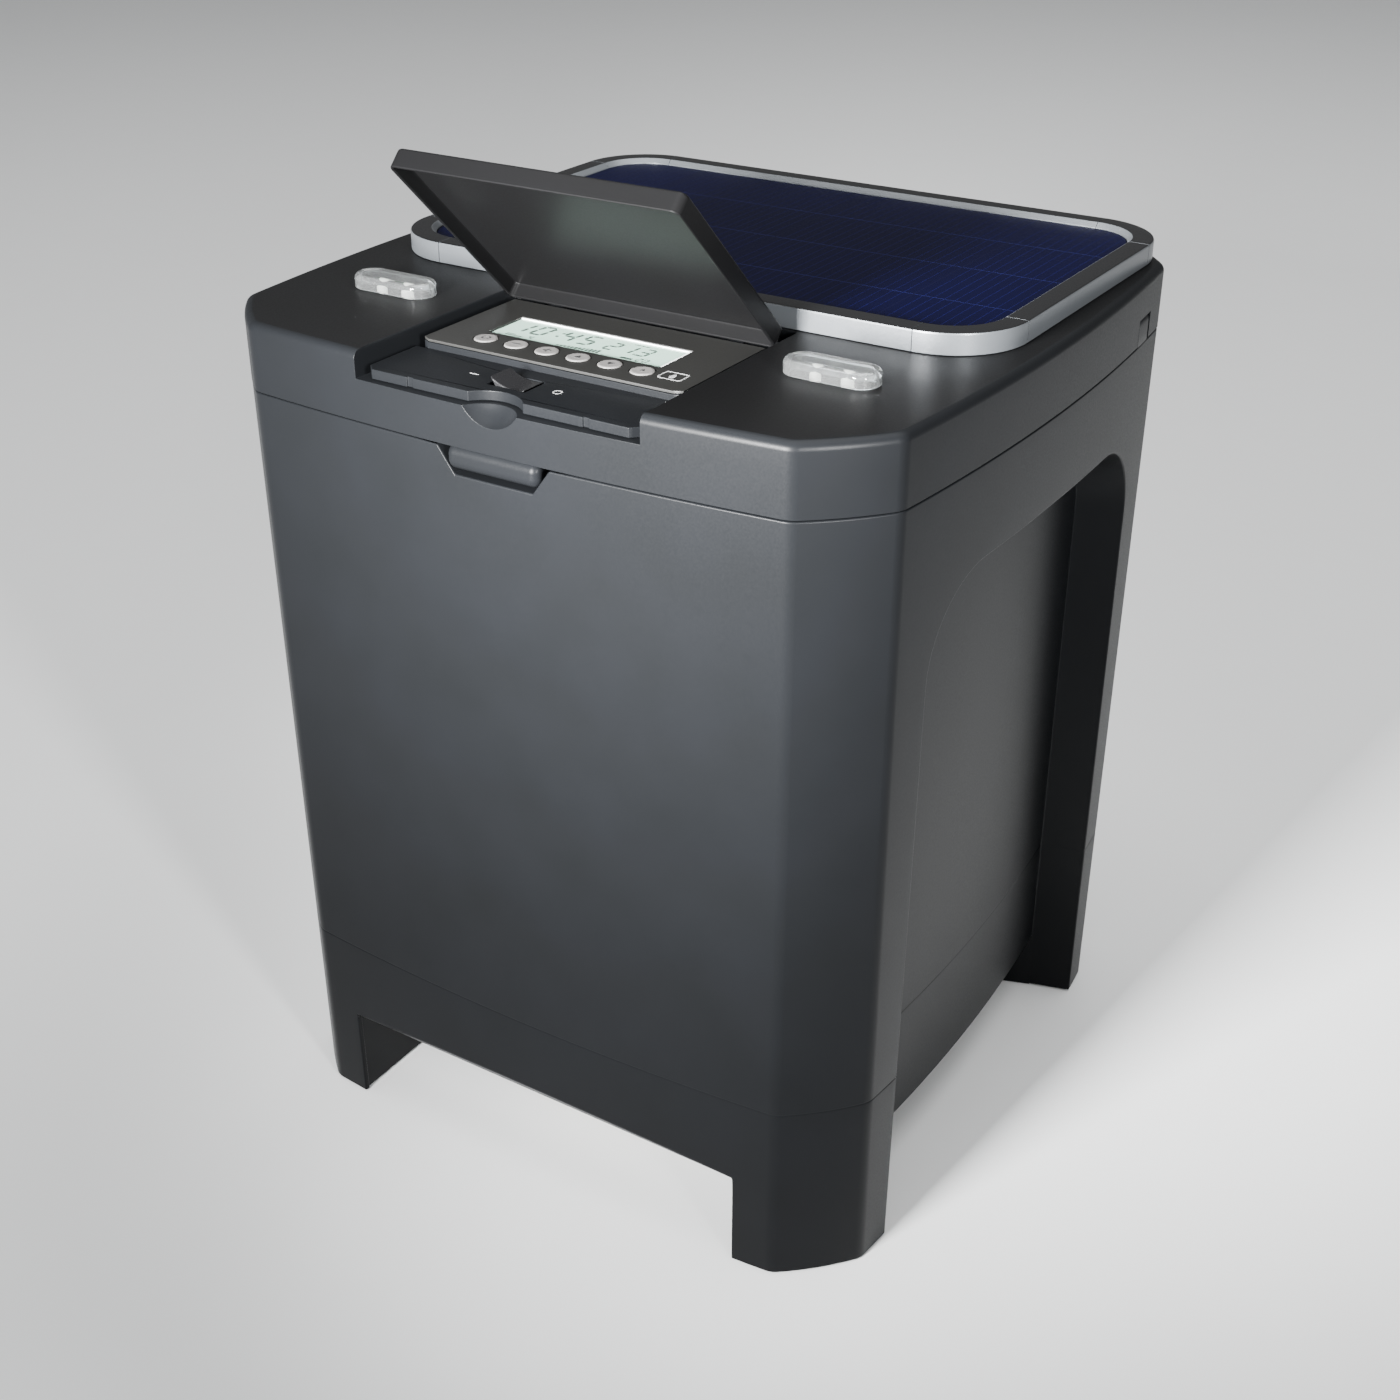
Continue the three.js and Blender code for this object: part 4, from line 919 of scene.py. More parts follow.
# ---- Lid -------------------------------------------------------------------------------------------
@dataclass
class LidCasing:
    """The moulded lid: filleted top, open control pocket at the front, finger scoop and handle lip."""

    bottom: float = 403.8
    top: float = PLAN.lid_top
    edge: float = 4.0
    wall: float = 3.0
    pocket: float = 75.0
    pocket_rear: float = -53.0
    pocket_corner: float = 2.0
    floor: float = PLAN.pocket_floor
    notch_top: float = 417.2
    scoop_radius: float = PLAN.scoop_radius
    scoop_y: float = PLAN.scoop_y
    scoop_z: float = 433.2
    side_near: float = 170.0
    lip_half: float = 24.5
    lip_front: float = 183.0
    lip_back: float = 174.0
    lip_bottom: float = 393.2

    def rows(self) -> list[tuple[float, float]]:
        """(inset, height) of every row round the lid, from the bottom rim to the flat top."""
        return [(0.0, self.bottom), (0.0, self.notch_top), (0.0, self.floor), *fillet(self.edge, self.top, 5)]

    def whole_ring(self, inset: float) -> np.ndarray:
        """The outline from the pocket's right side, round the back, to its left side."""
        right = PLAN.half_ring(self.pocket, inset)
        cross = np.linspace(self.pocket, -self.pocket, 17)[1:-1]
        rear = np.column_stack([cross, PLAN.front(cross, inset)])
        return np.concatenate([right, rear, right[::-1] * [-1, 1]])

    def skirting(self, skin: Skin) -> np.ndarray:
        """The wall and filleted top edge, left open where the locating tongues stand. Returns its rows."""
        grid = np.stack([lift(self.whole_ring(inset), z) for inset, z in self.rows()])
        y, x = grid[0, :, 1], np.abs(grid[0, :, 0])
        middle, span = (y[1:] + y[:-1]) / 2, np.minimum(x[1:], x[:-1])
        notch = (middle > NOTCH[0]) & (middle < NOTCH[1]) & (span > self.side_near)
        keep = np.ones((len(grid) - 1, len(notch)), bool)
        keep[0] = ~notch
        skin.grid(grid, keep=keep)
        return grid

    def pocket_path(self, offset: float) -> np.ndarray:
        """The pocket's edge from its front right end round to its front left end.

        Straight back, round a small corner, across and forwards again, moved outwards by offset, except
        at the front ends.
        """
        front = float(PLAN.front(self.pocket))
        corner = self.pocket_corner
        y = np.linspace(-front, self.pocket_rear - corner, 12)
        down = np.column_stack([np.full(len(y), self.pocket), y])
        a = np.linspace(0, math.pi / 2, 5)[1:]
        turn = np.column_stack([self.pocket - corner + corner * np.cos(a),
                                self.pocket_rear - corner + corner * np.sin(a)])
        x = np.linspace(self.pocket - corner, 0, 9)[1:]
        across = np.column_stack([x, np.full(len(x), self.pocket_rear)])
        half = np.concatenate([down, turn, across])
        out = np.concatenate([np.tile([1.0, 0.0], (len(y), 1)), np.column_stack([np.cos(a), np.sin(a)]),
                              np.tile([0.0, 1.0], (len(x), 1))])
        half[1:] += out[1:] * offset
        return np.concatenate([half, half[-2::-1] * [-1, 1]])

    def pocket_wall(self, skin: Skin, ring: np.ndarray) -> tuple[np.ndarray, np.ndarray]:
        """The pocket's side and rear walls. Returns their lowest and highest rows."""
        rows = self.rows()[2:]
        rounding = [0.0] * (len(rows) - 2) + [0.25, 0.8]
        grid = np.stack([lift(self.pocket_path(r), z) for r, (_, z) in zip(rounding, rows)])
        grid[:, 0] = ring[2:, 0]
        grid[:, -1] = ring[2:, -1]
        skin.grid(grid)
        return grid[0], grid[-1]

    def sill_x(self) -> np.ndarray:
        """Columns across the low front wall of the pocket, with one at each end of the scoop."""
        end = self.scoop_half()
        scoop = end * np.sin(np.linspace(-math.pi / 2, math.pi / 2, 25))
        side = np.linspace(end, self.pocket, 10)[1:]
        return np.concatenate([-side[::-1], scoop, side])

    def scoop_half(self) -> float:
        """Half the scoop's width where its circle in the floor meets the bowed front wall."""
        width = self.floor_circle()
        x = width
        for _ in range(20):
            ahead = self.scoop_y + float(PLAN.front(x))
            x = math.sqrt(max(width**2 - ahead**2, 0.0))
        return x

    def floor_circle(self) -> float:
        """Radius of the scoop's circle in the pocket floor."""
        return math.sqrt(self.scoop_radius**2 - (self.scoop_z - self.floor) ** 2)

    def ball(self, x: np.ndarray, y: np.ndarray) -> np.ndarray:
        """Height of the scoop's sphere: centre height less the root of r^2 - x^2 - dy^2."""
        under = self.scoop_radius**2 - x**2 - (y - self.scoop_y) ** 2
        return self.scoop_z - np.sqrt(np.maximum(under, 0.0))

    def sill(self, skin: Skin, low: np.ndarray) -> None:
        """The low front wall, the scoop let into it, and the pocket floor behind it."""
        x = self.sill_x()
        y = -PLAN.front(x)
        inside = np.abs(x) <= self.scoop_half() + 1e-9
        rim = np.where(inside, np.minimum(self.ball(x, y), self.floor), self.floor)
        ends = np.abs(np.abs(x) - self.scoop_half()) < 1e-9
        rim[ends] = self.floor
        share = (self.notch_top - self.bottom) / (self.floor - self.bottom)
        wall = [np.column_stack([x, y, self.bottom + s * (rim - self.bottom)]) for s in (0, share, 1)]
        skin.grid(np.stack(wall))
        back = self.scoop_y + np.sqrt(np.maximum(self.floor_circle() ** 2 - x[inside] ** 2, 0))
        back[0], back[-1] = y[inside][0], y[inside][-1]
        rows = []
        for s in np.linspace(0, 1, 9):
            at = y[inside] + s * (back - y[inside])
            height = self.ball(x[inside], at)
            height[0] = height[-1] = self.floor
            rows.append(np.column_stack([x[inside], at, height]))
        rows[0][:, 2] = rim[inside]
        rows[-1][:, 2] = self.floor
        skin.grid(np.stack(rows))
        edge_y = y.copy()
        edge_y[inside] = back
        edge = np.column_stack([x, edge_y, np.full(len(x), self.floor)])
        skin.plate([np.concatenate([edge, low[1:-1]])])

    def lamp_hole(self, side: int) -> np.ndarray:
        """The stadium hole under a lamp lens."""
        x, y = side * PLAN.lamp_x, PLAN.lamp_y
        return rounded_box(x - 19.5, x + 19.5, y - 6, y + 6, 5.99, 8)(0)

    def shell(self) -> bpy.types.Object:
        """Builds the lid's outer surface."""
        skin = Skin()
        ring = self.skirting(skin)
        low, high = self.pocket_wall(skin, ring)
        self.sill(skin, low)
        holes = [lift(self.lamp_hole(side), self.top) for side in (-1, 1)]
        # The flat top takes tag 1, the darker copy of the ABS with painted shade.
        skin.plate([np.concatenate([ring[-1], high[-2:0:-1]]), *holes], tag=1)
        return skin.build("lid_casing")

    def lip(self) -> bpy.types.Object:
        """The rounded bar under the lid's front edge that a hand pulls."""
        bar = rounded_box(-self.lip_front, -self.lip_back, self.lip_bottom, self.bottom + 0.8, 4.4, 8)
        right = fillet(4.0, self.lip_half, 8)
        left = [(inset, -along) for inset, along in reversed(right)]
        return stack_piece("lid_lip", bar, [*left, *right], Axis.X)

    def knuckle(self, side: str, middle: float) -> bpy.types.Object:
        """The lid's barrel between two ears, on an arm that runs up to the rear wall."""
        section, half = HINGE.arm(-110, 32, 18, 178, 0.9, 16), 6.4
        return prism_piece(f"hinge_knuckle_{side}", section, middle - half, middle + half, Axis.X)

    def posts(self) -> bpy.types.Object:
        """The two posts at the pocket's rear that carry the flap's pins."""
        skin = Skin()
        for sign in (-1, 1):
            x0, x1 = sorted((sign * 46.0, sign * 54.0))
            post = rounded_box(-65.2, self.pocket_rear + 1, self.floor - 1, 435, 1.5, 4)
            skin.prism([post(0), circle(PLAN.flap_y, PLAN.flap_z, 1.9, 24)(0)], x0, x1, Axis.X)
        return skin.build("flap_posts")

    def make(self) -> None:
        """Builds and dresses every part of the lid casing."""
        slot, nodes = "satin_black_abs", ["lid_shell"]
        # The lid top's faces take the darker copy of the ABS: painted shade.
        dress(self.shell(), Body.LID, [ABS_SATIN, ABS_PAINTED_SHADE], nodes, wall=self.wall, edge=0.25)
        dress(self.lip(), Body.LID, [ABS_SATIN], nodes)
        dress(self.posts(), Body.LID, [ABS_SATIN], nodes, edge=0.4)
        for sign, side in ((-1, "left"), (1, "right")):
            dress(self.knuckle(side, sign * HINGE.x), Body.LID, [ABS_SATIN], nodes, edge=0.5)


@dataclass
class Flap:
    """The display flap: a shallow tray on two knuckles, standing open."""

    half: float = 74.2
    front: float = -180.0
    rear: float = -68.0
    bottom: float = 426.5
    top: float = 436.1
    wall: float = 1.6
    skin_depth: float = 2.4
    axis_y: float = PLAN.flap_y
    axis_z: float = PLAN.flap_z
    open_angle: float = 44.0

    def tray(self) -> bpy.types.Object:
        """Stacked loops: up the inner wall, over the rim, up the outer wall and round the top edge."""
        outer = rounded_box(-self.half, self.half, self.front, self.rear, 4.0, 8)
        ceiling = self.top - self.skin_depth
        hollow = [(self.wall + 1.2, ceiling), (self.wall + 0.3, ceiling - 0.3), (self.wall, ceiling - 1.2),
                  (self.wall, self.bottom + 0.4), (self.wall - 0.4, self.bottom)]
        shell = [(0.4, self.bottom), (0.0, self.bottom + 0.4), *fillet(1.6, self.top, 5)]
        skin = Skin()
        skin.stack(outer, hollow + shell)
        skin.turn((0, self.axis_y, self.axis_z), (-self.open_angle, 0, 0))
        return skin.build("flap_tray")

    def fittings(self) -> bpy.types.Object:
        """Two knuckles at the rear and a catch rib near the front."""
        skin = Skin()
        y, z = self.axis_y, self.axis_z
        a = np.radians(np.linspace(-90, 90, 16))
        barrel = np.column_stack([y + 3.5 * np.cos(a), z + 3.5 * np.sin(a)])
        arm = np.concatenate([barrel, [[self.rear - 1, z + 3.8], [self.rear - 1, z - 3]]])
        for sign in (-1, 1):
            x0, x1 = sorted((sign * 56.0, sign * 70.0))
            skin.prism([arm, circle(y, z, 1.9, 24)(0)], x0, x1, Axis.X)
        ceiling = self.top - self.skin_depth
        rib = rounded_box(-9, 9, self.front + 7, self.front + 9, 0.9, 4)
        skin.stack(rib, [(0.6, ceiling - 2.6), (0.0, ceiling - 2.0), (0.0, ceiling + 0.4)])
        skin.turn((0, y, z), (-self.open_angle, 0, 0))
        return skin.build("flap_knuckles")

    def make(self) -> None:
        """Builds and dresses the flap."""
        # The tray takes the darker copy of the ABS: painted shade.
        dress(self.tray(), Body.FLAP, [ABS_PAINTED_SHADE], ["display_flap"])
        dress(self.fittings(), Body.FLAP, [ABS_SATIN], ["display_flap"], edge=0.4)
        for side, sign in (("left", -1), ("right", 1)):
            low, high = sorted((sign * 47.0, sign * 77.0))
            steps = [(0.5, low), (0.0, low + 0.5), (0.0, high - 0.5), (0.5, high)]
            section = circle(self.axis_y, self.axis_z, 1.6, 24)
            pin = stack_piece(f"flap_hinge_pin_{side}", section, steps, Axis.X)
            dress(pin, Body.LID, [STEEL], [f"flap_pin_{side}"])


# ---- Display and controls --------------------------------------------------------------------------
@dataclass(frozen=True)
class Readout:
    """One row of digits: its text, its lower left corner in the window, and its sizes in millimetres."""

    text: str
    x: float
    y: float
    height: float
    pitch: float
    thick: float


@dataclass
class Display:
    """The display block: housing, printed film, liquid-crystal panel, its segments and six keys."""

    readouts: tuple[Readout, ...] = (Readout("1045", 5.0, 9.6, 11.5, 10.8, 1.5),
                                     Readout("213", 56.0, 9.6, 9.2, 8.6, 1.2),
                                     Readout("4", 19.0, 3.0, 3.6, 3.4, 0.5),
                                     Readout("20", 78.0, 3.0, 3.6, 3.4, 0.5))

    half: float = 69.5
    front: float = -141.0
    rear: float = -71.4
    floor: float = PLAN.pocket_floor
    top: float = 432.8
    sheet: float = 1.2
    lcd_x: float = -2.3
    lcd_y: float = -105.0
    lcd_length: float = 94.0
    lcd_width: float = 26.0
    colon_gap: float = 4.2
    key_count: int = 6
    key_first: float = -43.9
    key_pitch: float = 16.9
    key_y: float = -126.5
    key_radius: float = 5.5
    key_top: float = 433.2

    def plan(self, inset: float) -> np.ndarray:
        """The block's outline: a rectangle with its two front corners clipped."""
        x, y0, y1 = self.half - inset, self.front + inset, self.rear - inset
        across, back = 4.0, 2.4
        return np.array([[x, y1], [-x, y1], [-x, y0 + back], [-x + across, y0], [x - across, y0],
                         [x, y0 + back]])

    def window(self, grow: float = 0.0) -> np.ndarray:
        """The liquid-crystal window."""
        x, y = self.lcd_length / 2 + grow, self.lcd_width / 2 + grow
        return rounded_box(self.lcd_x - x, self.lcd_x + x, self.lcd_y - y, self.lcd_y + y, 0.4, 2)(0)

    def key_holes(self) -> list[np.ndarray]:
        """The six round holes that the keys stand in."""
        places = [self.key_first + i * self.key_pitch for i in range(self.key_count)]
        return [circle(x, self.key_y, self.key_radius + 0.35)(0) for x in places]

    def block(self) -> None:
        """The housing below the film and the film itself, each with the window and key holes through it."""
        under = self.top - self.sheet
        holes = self.key_holes()
        outline = [self.plan(0), self.window(0.6), *holes]
        block = prism_piece("display_block", outline, self.floor + 0.3, under - 0.3)
        dress(block, Body.LID, [ABS_SATIN], ["display_housing"], edge=0.35)
        film = prism_piece("display_film", [self.plan(0.1), self.window(), *holes], under, self.top)
        dress(film, Body.LID, [FILM], ["display_fascia"], edge=0.2)

    def panel(self) -> None:
        """The liquid-crystal panel, and the pale strip at its back and right that paints the highlight where
        its edge catches the light.
        """
        x, y = self.lcd_length / 2 - 0.4, self.lcd_width / 2 - 0.4
        left, right, front, back = self.lcd_x - x, self.lcd_x + x, self.lcd_y - y, self.lcd_y + y
        steps = [(0, self.top - 4.4), (0, self.top - 0.9), (0.1, self.top - 0.8)]
        # The glass's faint glow is painted light, for the front light that the flap shades from it.
        glass = stack_piece("lcd_glass", rounded_box(left, right, front, back, 0.4, 2), steps)
        dress(glass, Body.LID, [LCD_GLASS_PAINTED_GLOW], ["lcd_panel"])
        # A pale strip along the back and right edges: a painted highlight.
        wide = 0.9
        edge = np.array([[left, back], [right, back], [right, front], [right - wide, front],
                         [right - wide, back - wide], [left, back - wide]])
        guide = prism_piece("lcd_edge_highlight_strip", [edge], self.top - 0.75, self.top - 0.25)
        dress(guide, Body.LID, [LCD_EDGE_PAINTED_HIGHLIGHT], edge=0.12)

    def keys(self) -> None:
        """Six turned caps, each with a shallow dish in its top, and one printed mark on each."""
        for i in range(self.key_count):
            x = self.key_first + i * self.key_pitch
            low, top = self.floor + 3.4, self.key_top
            steps = [(0, low), (0, top - 0.6), (0.2, top - 0.2), (0.7, top), (1.4, top), (3.4, top - 0.08)]
            node = f"key_{i + 1}"
            shape = stack_piece(f"key_cap_{i + 1}", circle(x, self.key_y, self.key_radius, 64), steps)
            cap = dress(shape, Body.LID, [KEY_SILICONE], [node])
            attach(cap, node)
            mark = dress(self.mark(i, x), Body.LID, [INK_DARK])
            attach(mark, node)

    def mark(self, index: int, x: float) -> bpy.types.Object:
        """A generic printed sign on a key: a ring, a bar, a cross, a wedge up, a wedge down or a dot."""
        y, thin = self.key_y, 0.35

        def stroke(x0: float, x1: float, y0: float, y1: float) -> list[np.ndarray]:
            """One short bar, from places about the key's middle."""
            return [rounded_box(x + x0, x + x1, y + y0, y + y1, 0.3, 2)(0)]

        def wedge(up: int) -> list[np.ndarray]:
            """A triangle that points to the rear, or to the front when up is -1."""
            return [np.array([[x - 1.7, y - 1.3 * up], [x + 1.7, y - 1.3 * up], [x, y + 1.6 * up]])]

        across = stroke(-2.2, 2.2, -thin, thin)
        signs = (
            [[circle(x, y, 2.1, 32)(0), circle(x, y, 1.6, 32)(0)]],
            [across],
            [across, stroke(-thin, thin, 0.5, 2.2), stroke(-thin, thin, -2.2, -0.5)],
            [wedge(1)],
            [wedge(-1)],
            [[circle(x, y, 1.0, 24)(0)]],
        )
        skin = Skin()
        for loops in signs[index]:
            skin.prism(loops, self.key_top - 0.15, self.key_top + 0.02)
        return skin.build(f"key_mark_{index + 1}")

    def ink(self, skin: Skin, loop: np.ndarray) -> None:
        """One printed shape, just proud of the panel's glass."""
        skin.prism([loop], self.top - 0.82, self.top - 0.72)

    def digit(self, skin: Skin, lit: str, x: float, y: float, height: float, thick: float) -> None:
        """One slanted seven-segment digit, each lit segment a bar with pointed ends.

        Args:
            skin: what the bars are added to.
            lit: the lit segments, from a at the top, clockwise to f, and g across the middle.
            x, y: the digit's lower left corner.
            height, thick: the digit's height and the segments' thickness.
        """
        w, h, t = height * 0.52, height, thick / 2
        ends = {"a": ((0, h), (w, h)), "b": ((w, h), (w, h / 2)), "c": ((w, h / 2), (w, 0)),
                "d": ((0, 0), (w, 0)), "e": ((0, 0), (0, h / 2)), "f": ((0, h / 2), (0, h)),
                "g": ((0, h / 2), (w, h / 2))}
        for name in lit:
            a, b = (np.array(p, float) for p in ends[name])
            along = (b - a) / np.linalg.norm(b - a)
            across = np.array([-along[1], along[0]]) * t
            a, b = a + along * t * 0.5, b - along * t * 0.5
            bar = np.array([a, a + along * t - across, b - along * t - across, b, b - along * t + across,
                            a + along * t + across])
            bar[:, 0] += bar[:, 1] * 0.16
            self.ink(skin, bar + [x, y])

    def segments(self) -> None:
        """The clock, the temperature, two small counts and the volume bar on the panel."""
        shapes = {"0": "abcdef", "1": "bc", "2": "abged", "3": "abgcd", "4": "fgbc", "5": "afgcd"}
        left, low = self.lcd_x - self.lcd_length / 2, self.lcd_y - self.lcd_width / 2
        skin = Skin()
        for row in self.readouts:
            gap = 0.0
            for i, letter in enumerate(row.text):
                gap = self.colon_gap if len(row.text) == 4 and i > 1 else gap
                x = left + row.x + i * row.pitch + gap
                self.digit(skin, shapes[letter], x, low + row.y, row.height, row.thick)
        for x, y, radius in ((29.3, 12.6, 0.8), (29.9, 17.2, 0.8), (72.8, 9.9, 0.65)):
            self.ink(skin, circle(left + x, low + y, radius, 16)(0))
        for i in range(12):
            x = left + 36 + i * 1.9
            self.ink(skin, rounded_box(x, x + 1.2, low + 2.6, low + 3.4 + 0.28 * i, 0.1, 1)(0))
        dashes = ((7, 16, 3.2, 3.9), (7, 12, 4.8, 5.3), (70, 76, 3.0, 4.6), (66, 74, 21.0, 21.6))
        for x0, x1, y0, y1 in dashes:
            self.ink(skin, rounded_box(left + x0, left + x1, low + y0, low + y1, 0.15, 1)(0))
        dress(skin.build("lcd_segments"), Body.LID, [LCD_SEGMENT])

    def emblem(self) -> None:
        """A generic printed drop inside a rounded square."""
        x, y, low, high = 55.5, -125.0, self.top - 0.05, self.top + 0.05
        outside = rounded_box(x - 6, x + 6, y - 4.6, y + 4.6, 1.6)(0)
        inside = rounded_box(x - 5.4, x + 5.4, y - 4, y + 4, 1.2)(0)
        skin = Skin()
        skin.prism([outside, inside], low, high)
        a = np.linspace(0, 2 * math.pi, 33)[:-1]
        drop = np.column_stack([x + 1.9 * np.sin(a) * np.sin(a / 2) ** 1.2, y + 2.6 * np.cos(a)])
        skin.prism([drop], low, high)
        dress(skin.build("film_emblem"), Body.LID, [INK])

    def make(self) -> None:
        """Builds and dresses the display block."""
        self.block()
        self.panel()
        self.segments()
        self.keys()
        self.emblem()


@dataclass
class SwitchDeck:
    """The low panel in front of the display, notched for a fingertip, and its rocker switch."""

    half: float = 72.3
    front: float = -177.2
    rear: float = -141.3
    floor: float = 424.0
    top: float = 428.5
    bevel: float = 4.5
    notch_y: float = PLAN.scoop_y
    notch_radius: float = PLAN.scoop_radius
    cut_in: float = 45.0
    cut_out: float = 48.0
    cut_deep: float = 0.7
    rocker_x: float = -3.5
    rocker_y: float = -158.0
    rocker_z: float = 427.0
    rocker_half: float = 9.2
    rocker_width: float = 14.4
    tilt: float = 11.0

    def outline(self) -> np.ndarray:
        """Clipped front corners, two small latch cuts and a round notch about the scoop's centre."""
        rise = self.front - self.notch_y
        end = math.acos(rise / self.notch_radius)
        a = np.linspace(-end, end, 25)
        arc = np.column_stack([self.notch_radius * np.sin(a), self.notch_y + self.notch_radius * np.cos(a)])
        x, f, b = self.half, self.front, self.bevel
        deep = f + self.cut_deep
        right = np.array([[self.cut_in, f], [self.cut_in, deep], [self.cut_out, deep], [self.cut_out, f],
                          [x - b, f], [x, f + b]])
        left = right[::-1] * [-1, 1]
        return np.concatenate([left, arc, right, [[x, self.rear], [-x, self.rear]]])

    def rocker(self) -> bpy.types.Object:
        """The rocker: a bar with a dished top, z = 1.6 + 2 (x / half)^2, tilted to one side."""
        x = np.linspace(self.rocker_half, -self.rocker_half, 17)
        dish = np.column_stack([x, 1.6 + 2.0 * (x / self.rocker_half) ** 2])
        profile = np.concatenate([dish, [[-4.5, -1.6], [4.5, -1.6]]])
        skin = Skin()
        skin.prism([profile], -self.rocker_width / 2, self.rocker_width / 2, Axis.Y)
        skin.turn((0, 0, 0), (0, self.tilt, 0))
        skin.points = [p + [self.rocker_x, self.rocker_y, self.rocker_z] for p in skin.points]
        return skin.build("rocker_cap")

    def make(self) -> None:
        """Builds and dresses the deck, the rocker, and the printed signs beside it."""
        half, x, y = self.rocker_half + 1, self.rocker_x, self.rocker_y
        window = rounded_box(x - half, x + half, y - 7.6, y + 7.6, 0.8, 3)(0)
        deck = prism_piece("switch_deck", [self.outline(), window], self.floor, self.top)
        dress(deck, Body.LID, [ABS_SATIN], ["switch_panel"], edge=0.4)
        dress(self.rocker(), Body.ROCKER, [ABS_GLOSS], ["rocker_switch"], edge=0.5)
        skin = Skin()
        low, high = self.top - 0.05, self.top + 0.04
        skin.prism([rounded_box(x - 25, x - 20, y - 0.3, y + 0.3, 0.25, 2)(0)], low, high)
        skin.prism([circle(x + 22, y, 2.2, 32)(0), circle(x + 22, y, 1.7, 32)(0)], low, high)
        dress(skin.build("deck_signs"), Body.LID, [INK])


# ---- Lamps and solar panel -------------------------------------------------------------------------
@dataclass
class Lamps:
    """Two clear stadium lenses, each over two round-headed diodes."""

    x: float = PLAN.lamp_x
    y: float = PLAN.lamp_y
    length: float = 45.0
    width: float = 18.0
    height: float = 7.0
    pitch: float = 15.0
    deck: float = PLAN.lid_top

    def lens(self, side: str, sign: int) -> bpy.types.Object:
        """A clear cover: outer wall with a rounded shoulder, and a hollow with a rounded roof inside."""
        x, low, top = sign * self.x, self.deck + 0.3, self.deck + self.height
        along, across = self.length / 2, self.width / 2
        shape = rounded_box(x - along, x + along, self.y - across, self.y + across, across - 0.01, 14)
        hollow = [(inset + 2.6, z) for inset, z in reversed(fillet(2.0, top - 1.8, 5))]
        outer = [(0.25, low), (0.0, low + 0.3), *fillet(2.4, top, 6)]
        return stack_piece(f"lamp_cover_{side}", shape, [*hollow, (2.6, low), *outer])

    def diode(self, name: str, x: float) -> bpy.types.Object:
        """A 5 mm diode: a flange, a straight body and a dome, radius 2.5 cos a at height 2.5 sin a."""
        base = self.deck - 5.1
        dome = [(2.9 - 2.5 * math.cos(a), base + 5.6 + 2.5 * math.sin(a)) for a in np.linspace(0, 1.5, 9)]
        flange = [(0, base), (0, base + 0.9), (0.1, base + 1), (0.4, base + 1)]
        return stack_piece(name, circle(x, self.y, 2.9, 40), [*flange, *dome])

    def make(self) -> None:
        """Builds and dresses both lamps."""
        for side, sign in (("left", -1), ("right", 1)):
            dress(self.lens(side, sign), Body.LID, [ACRYLIC], [f"lamp_lens_{side}"])
            for place, step in (("outer", sign), ("inner", -sign)):
                x = sign * self.x + step * self.pitch / 2
                dress(self.diode(f"diode_{side}_{place}", x), Body.LID, [LED_EPOXY],
                      [f"led_{side}_{place}"])


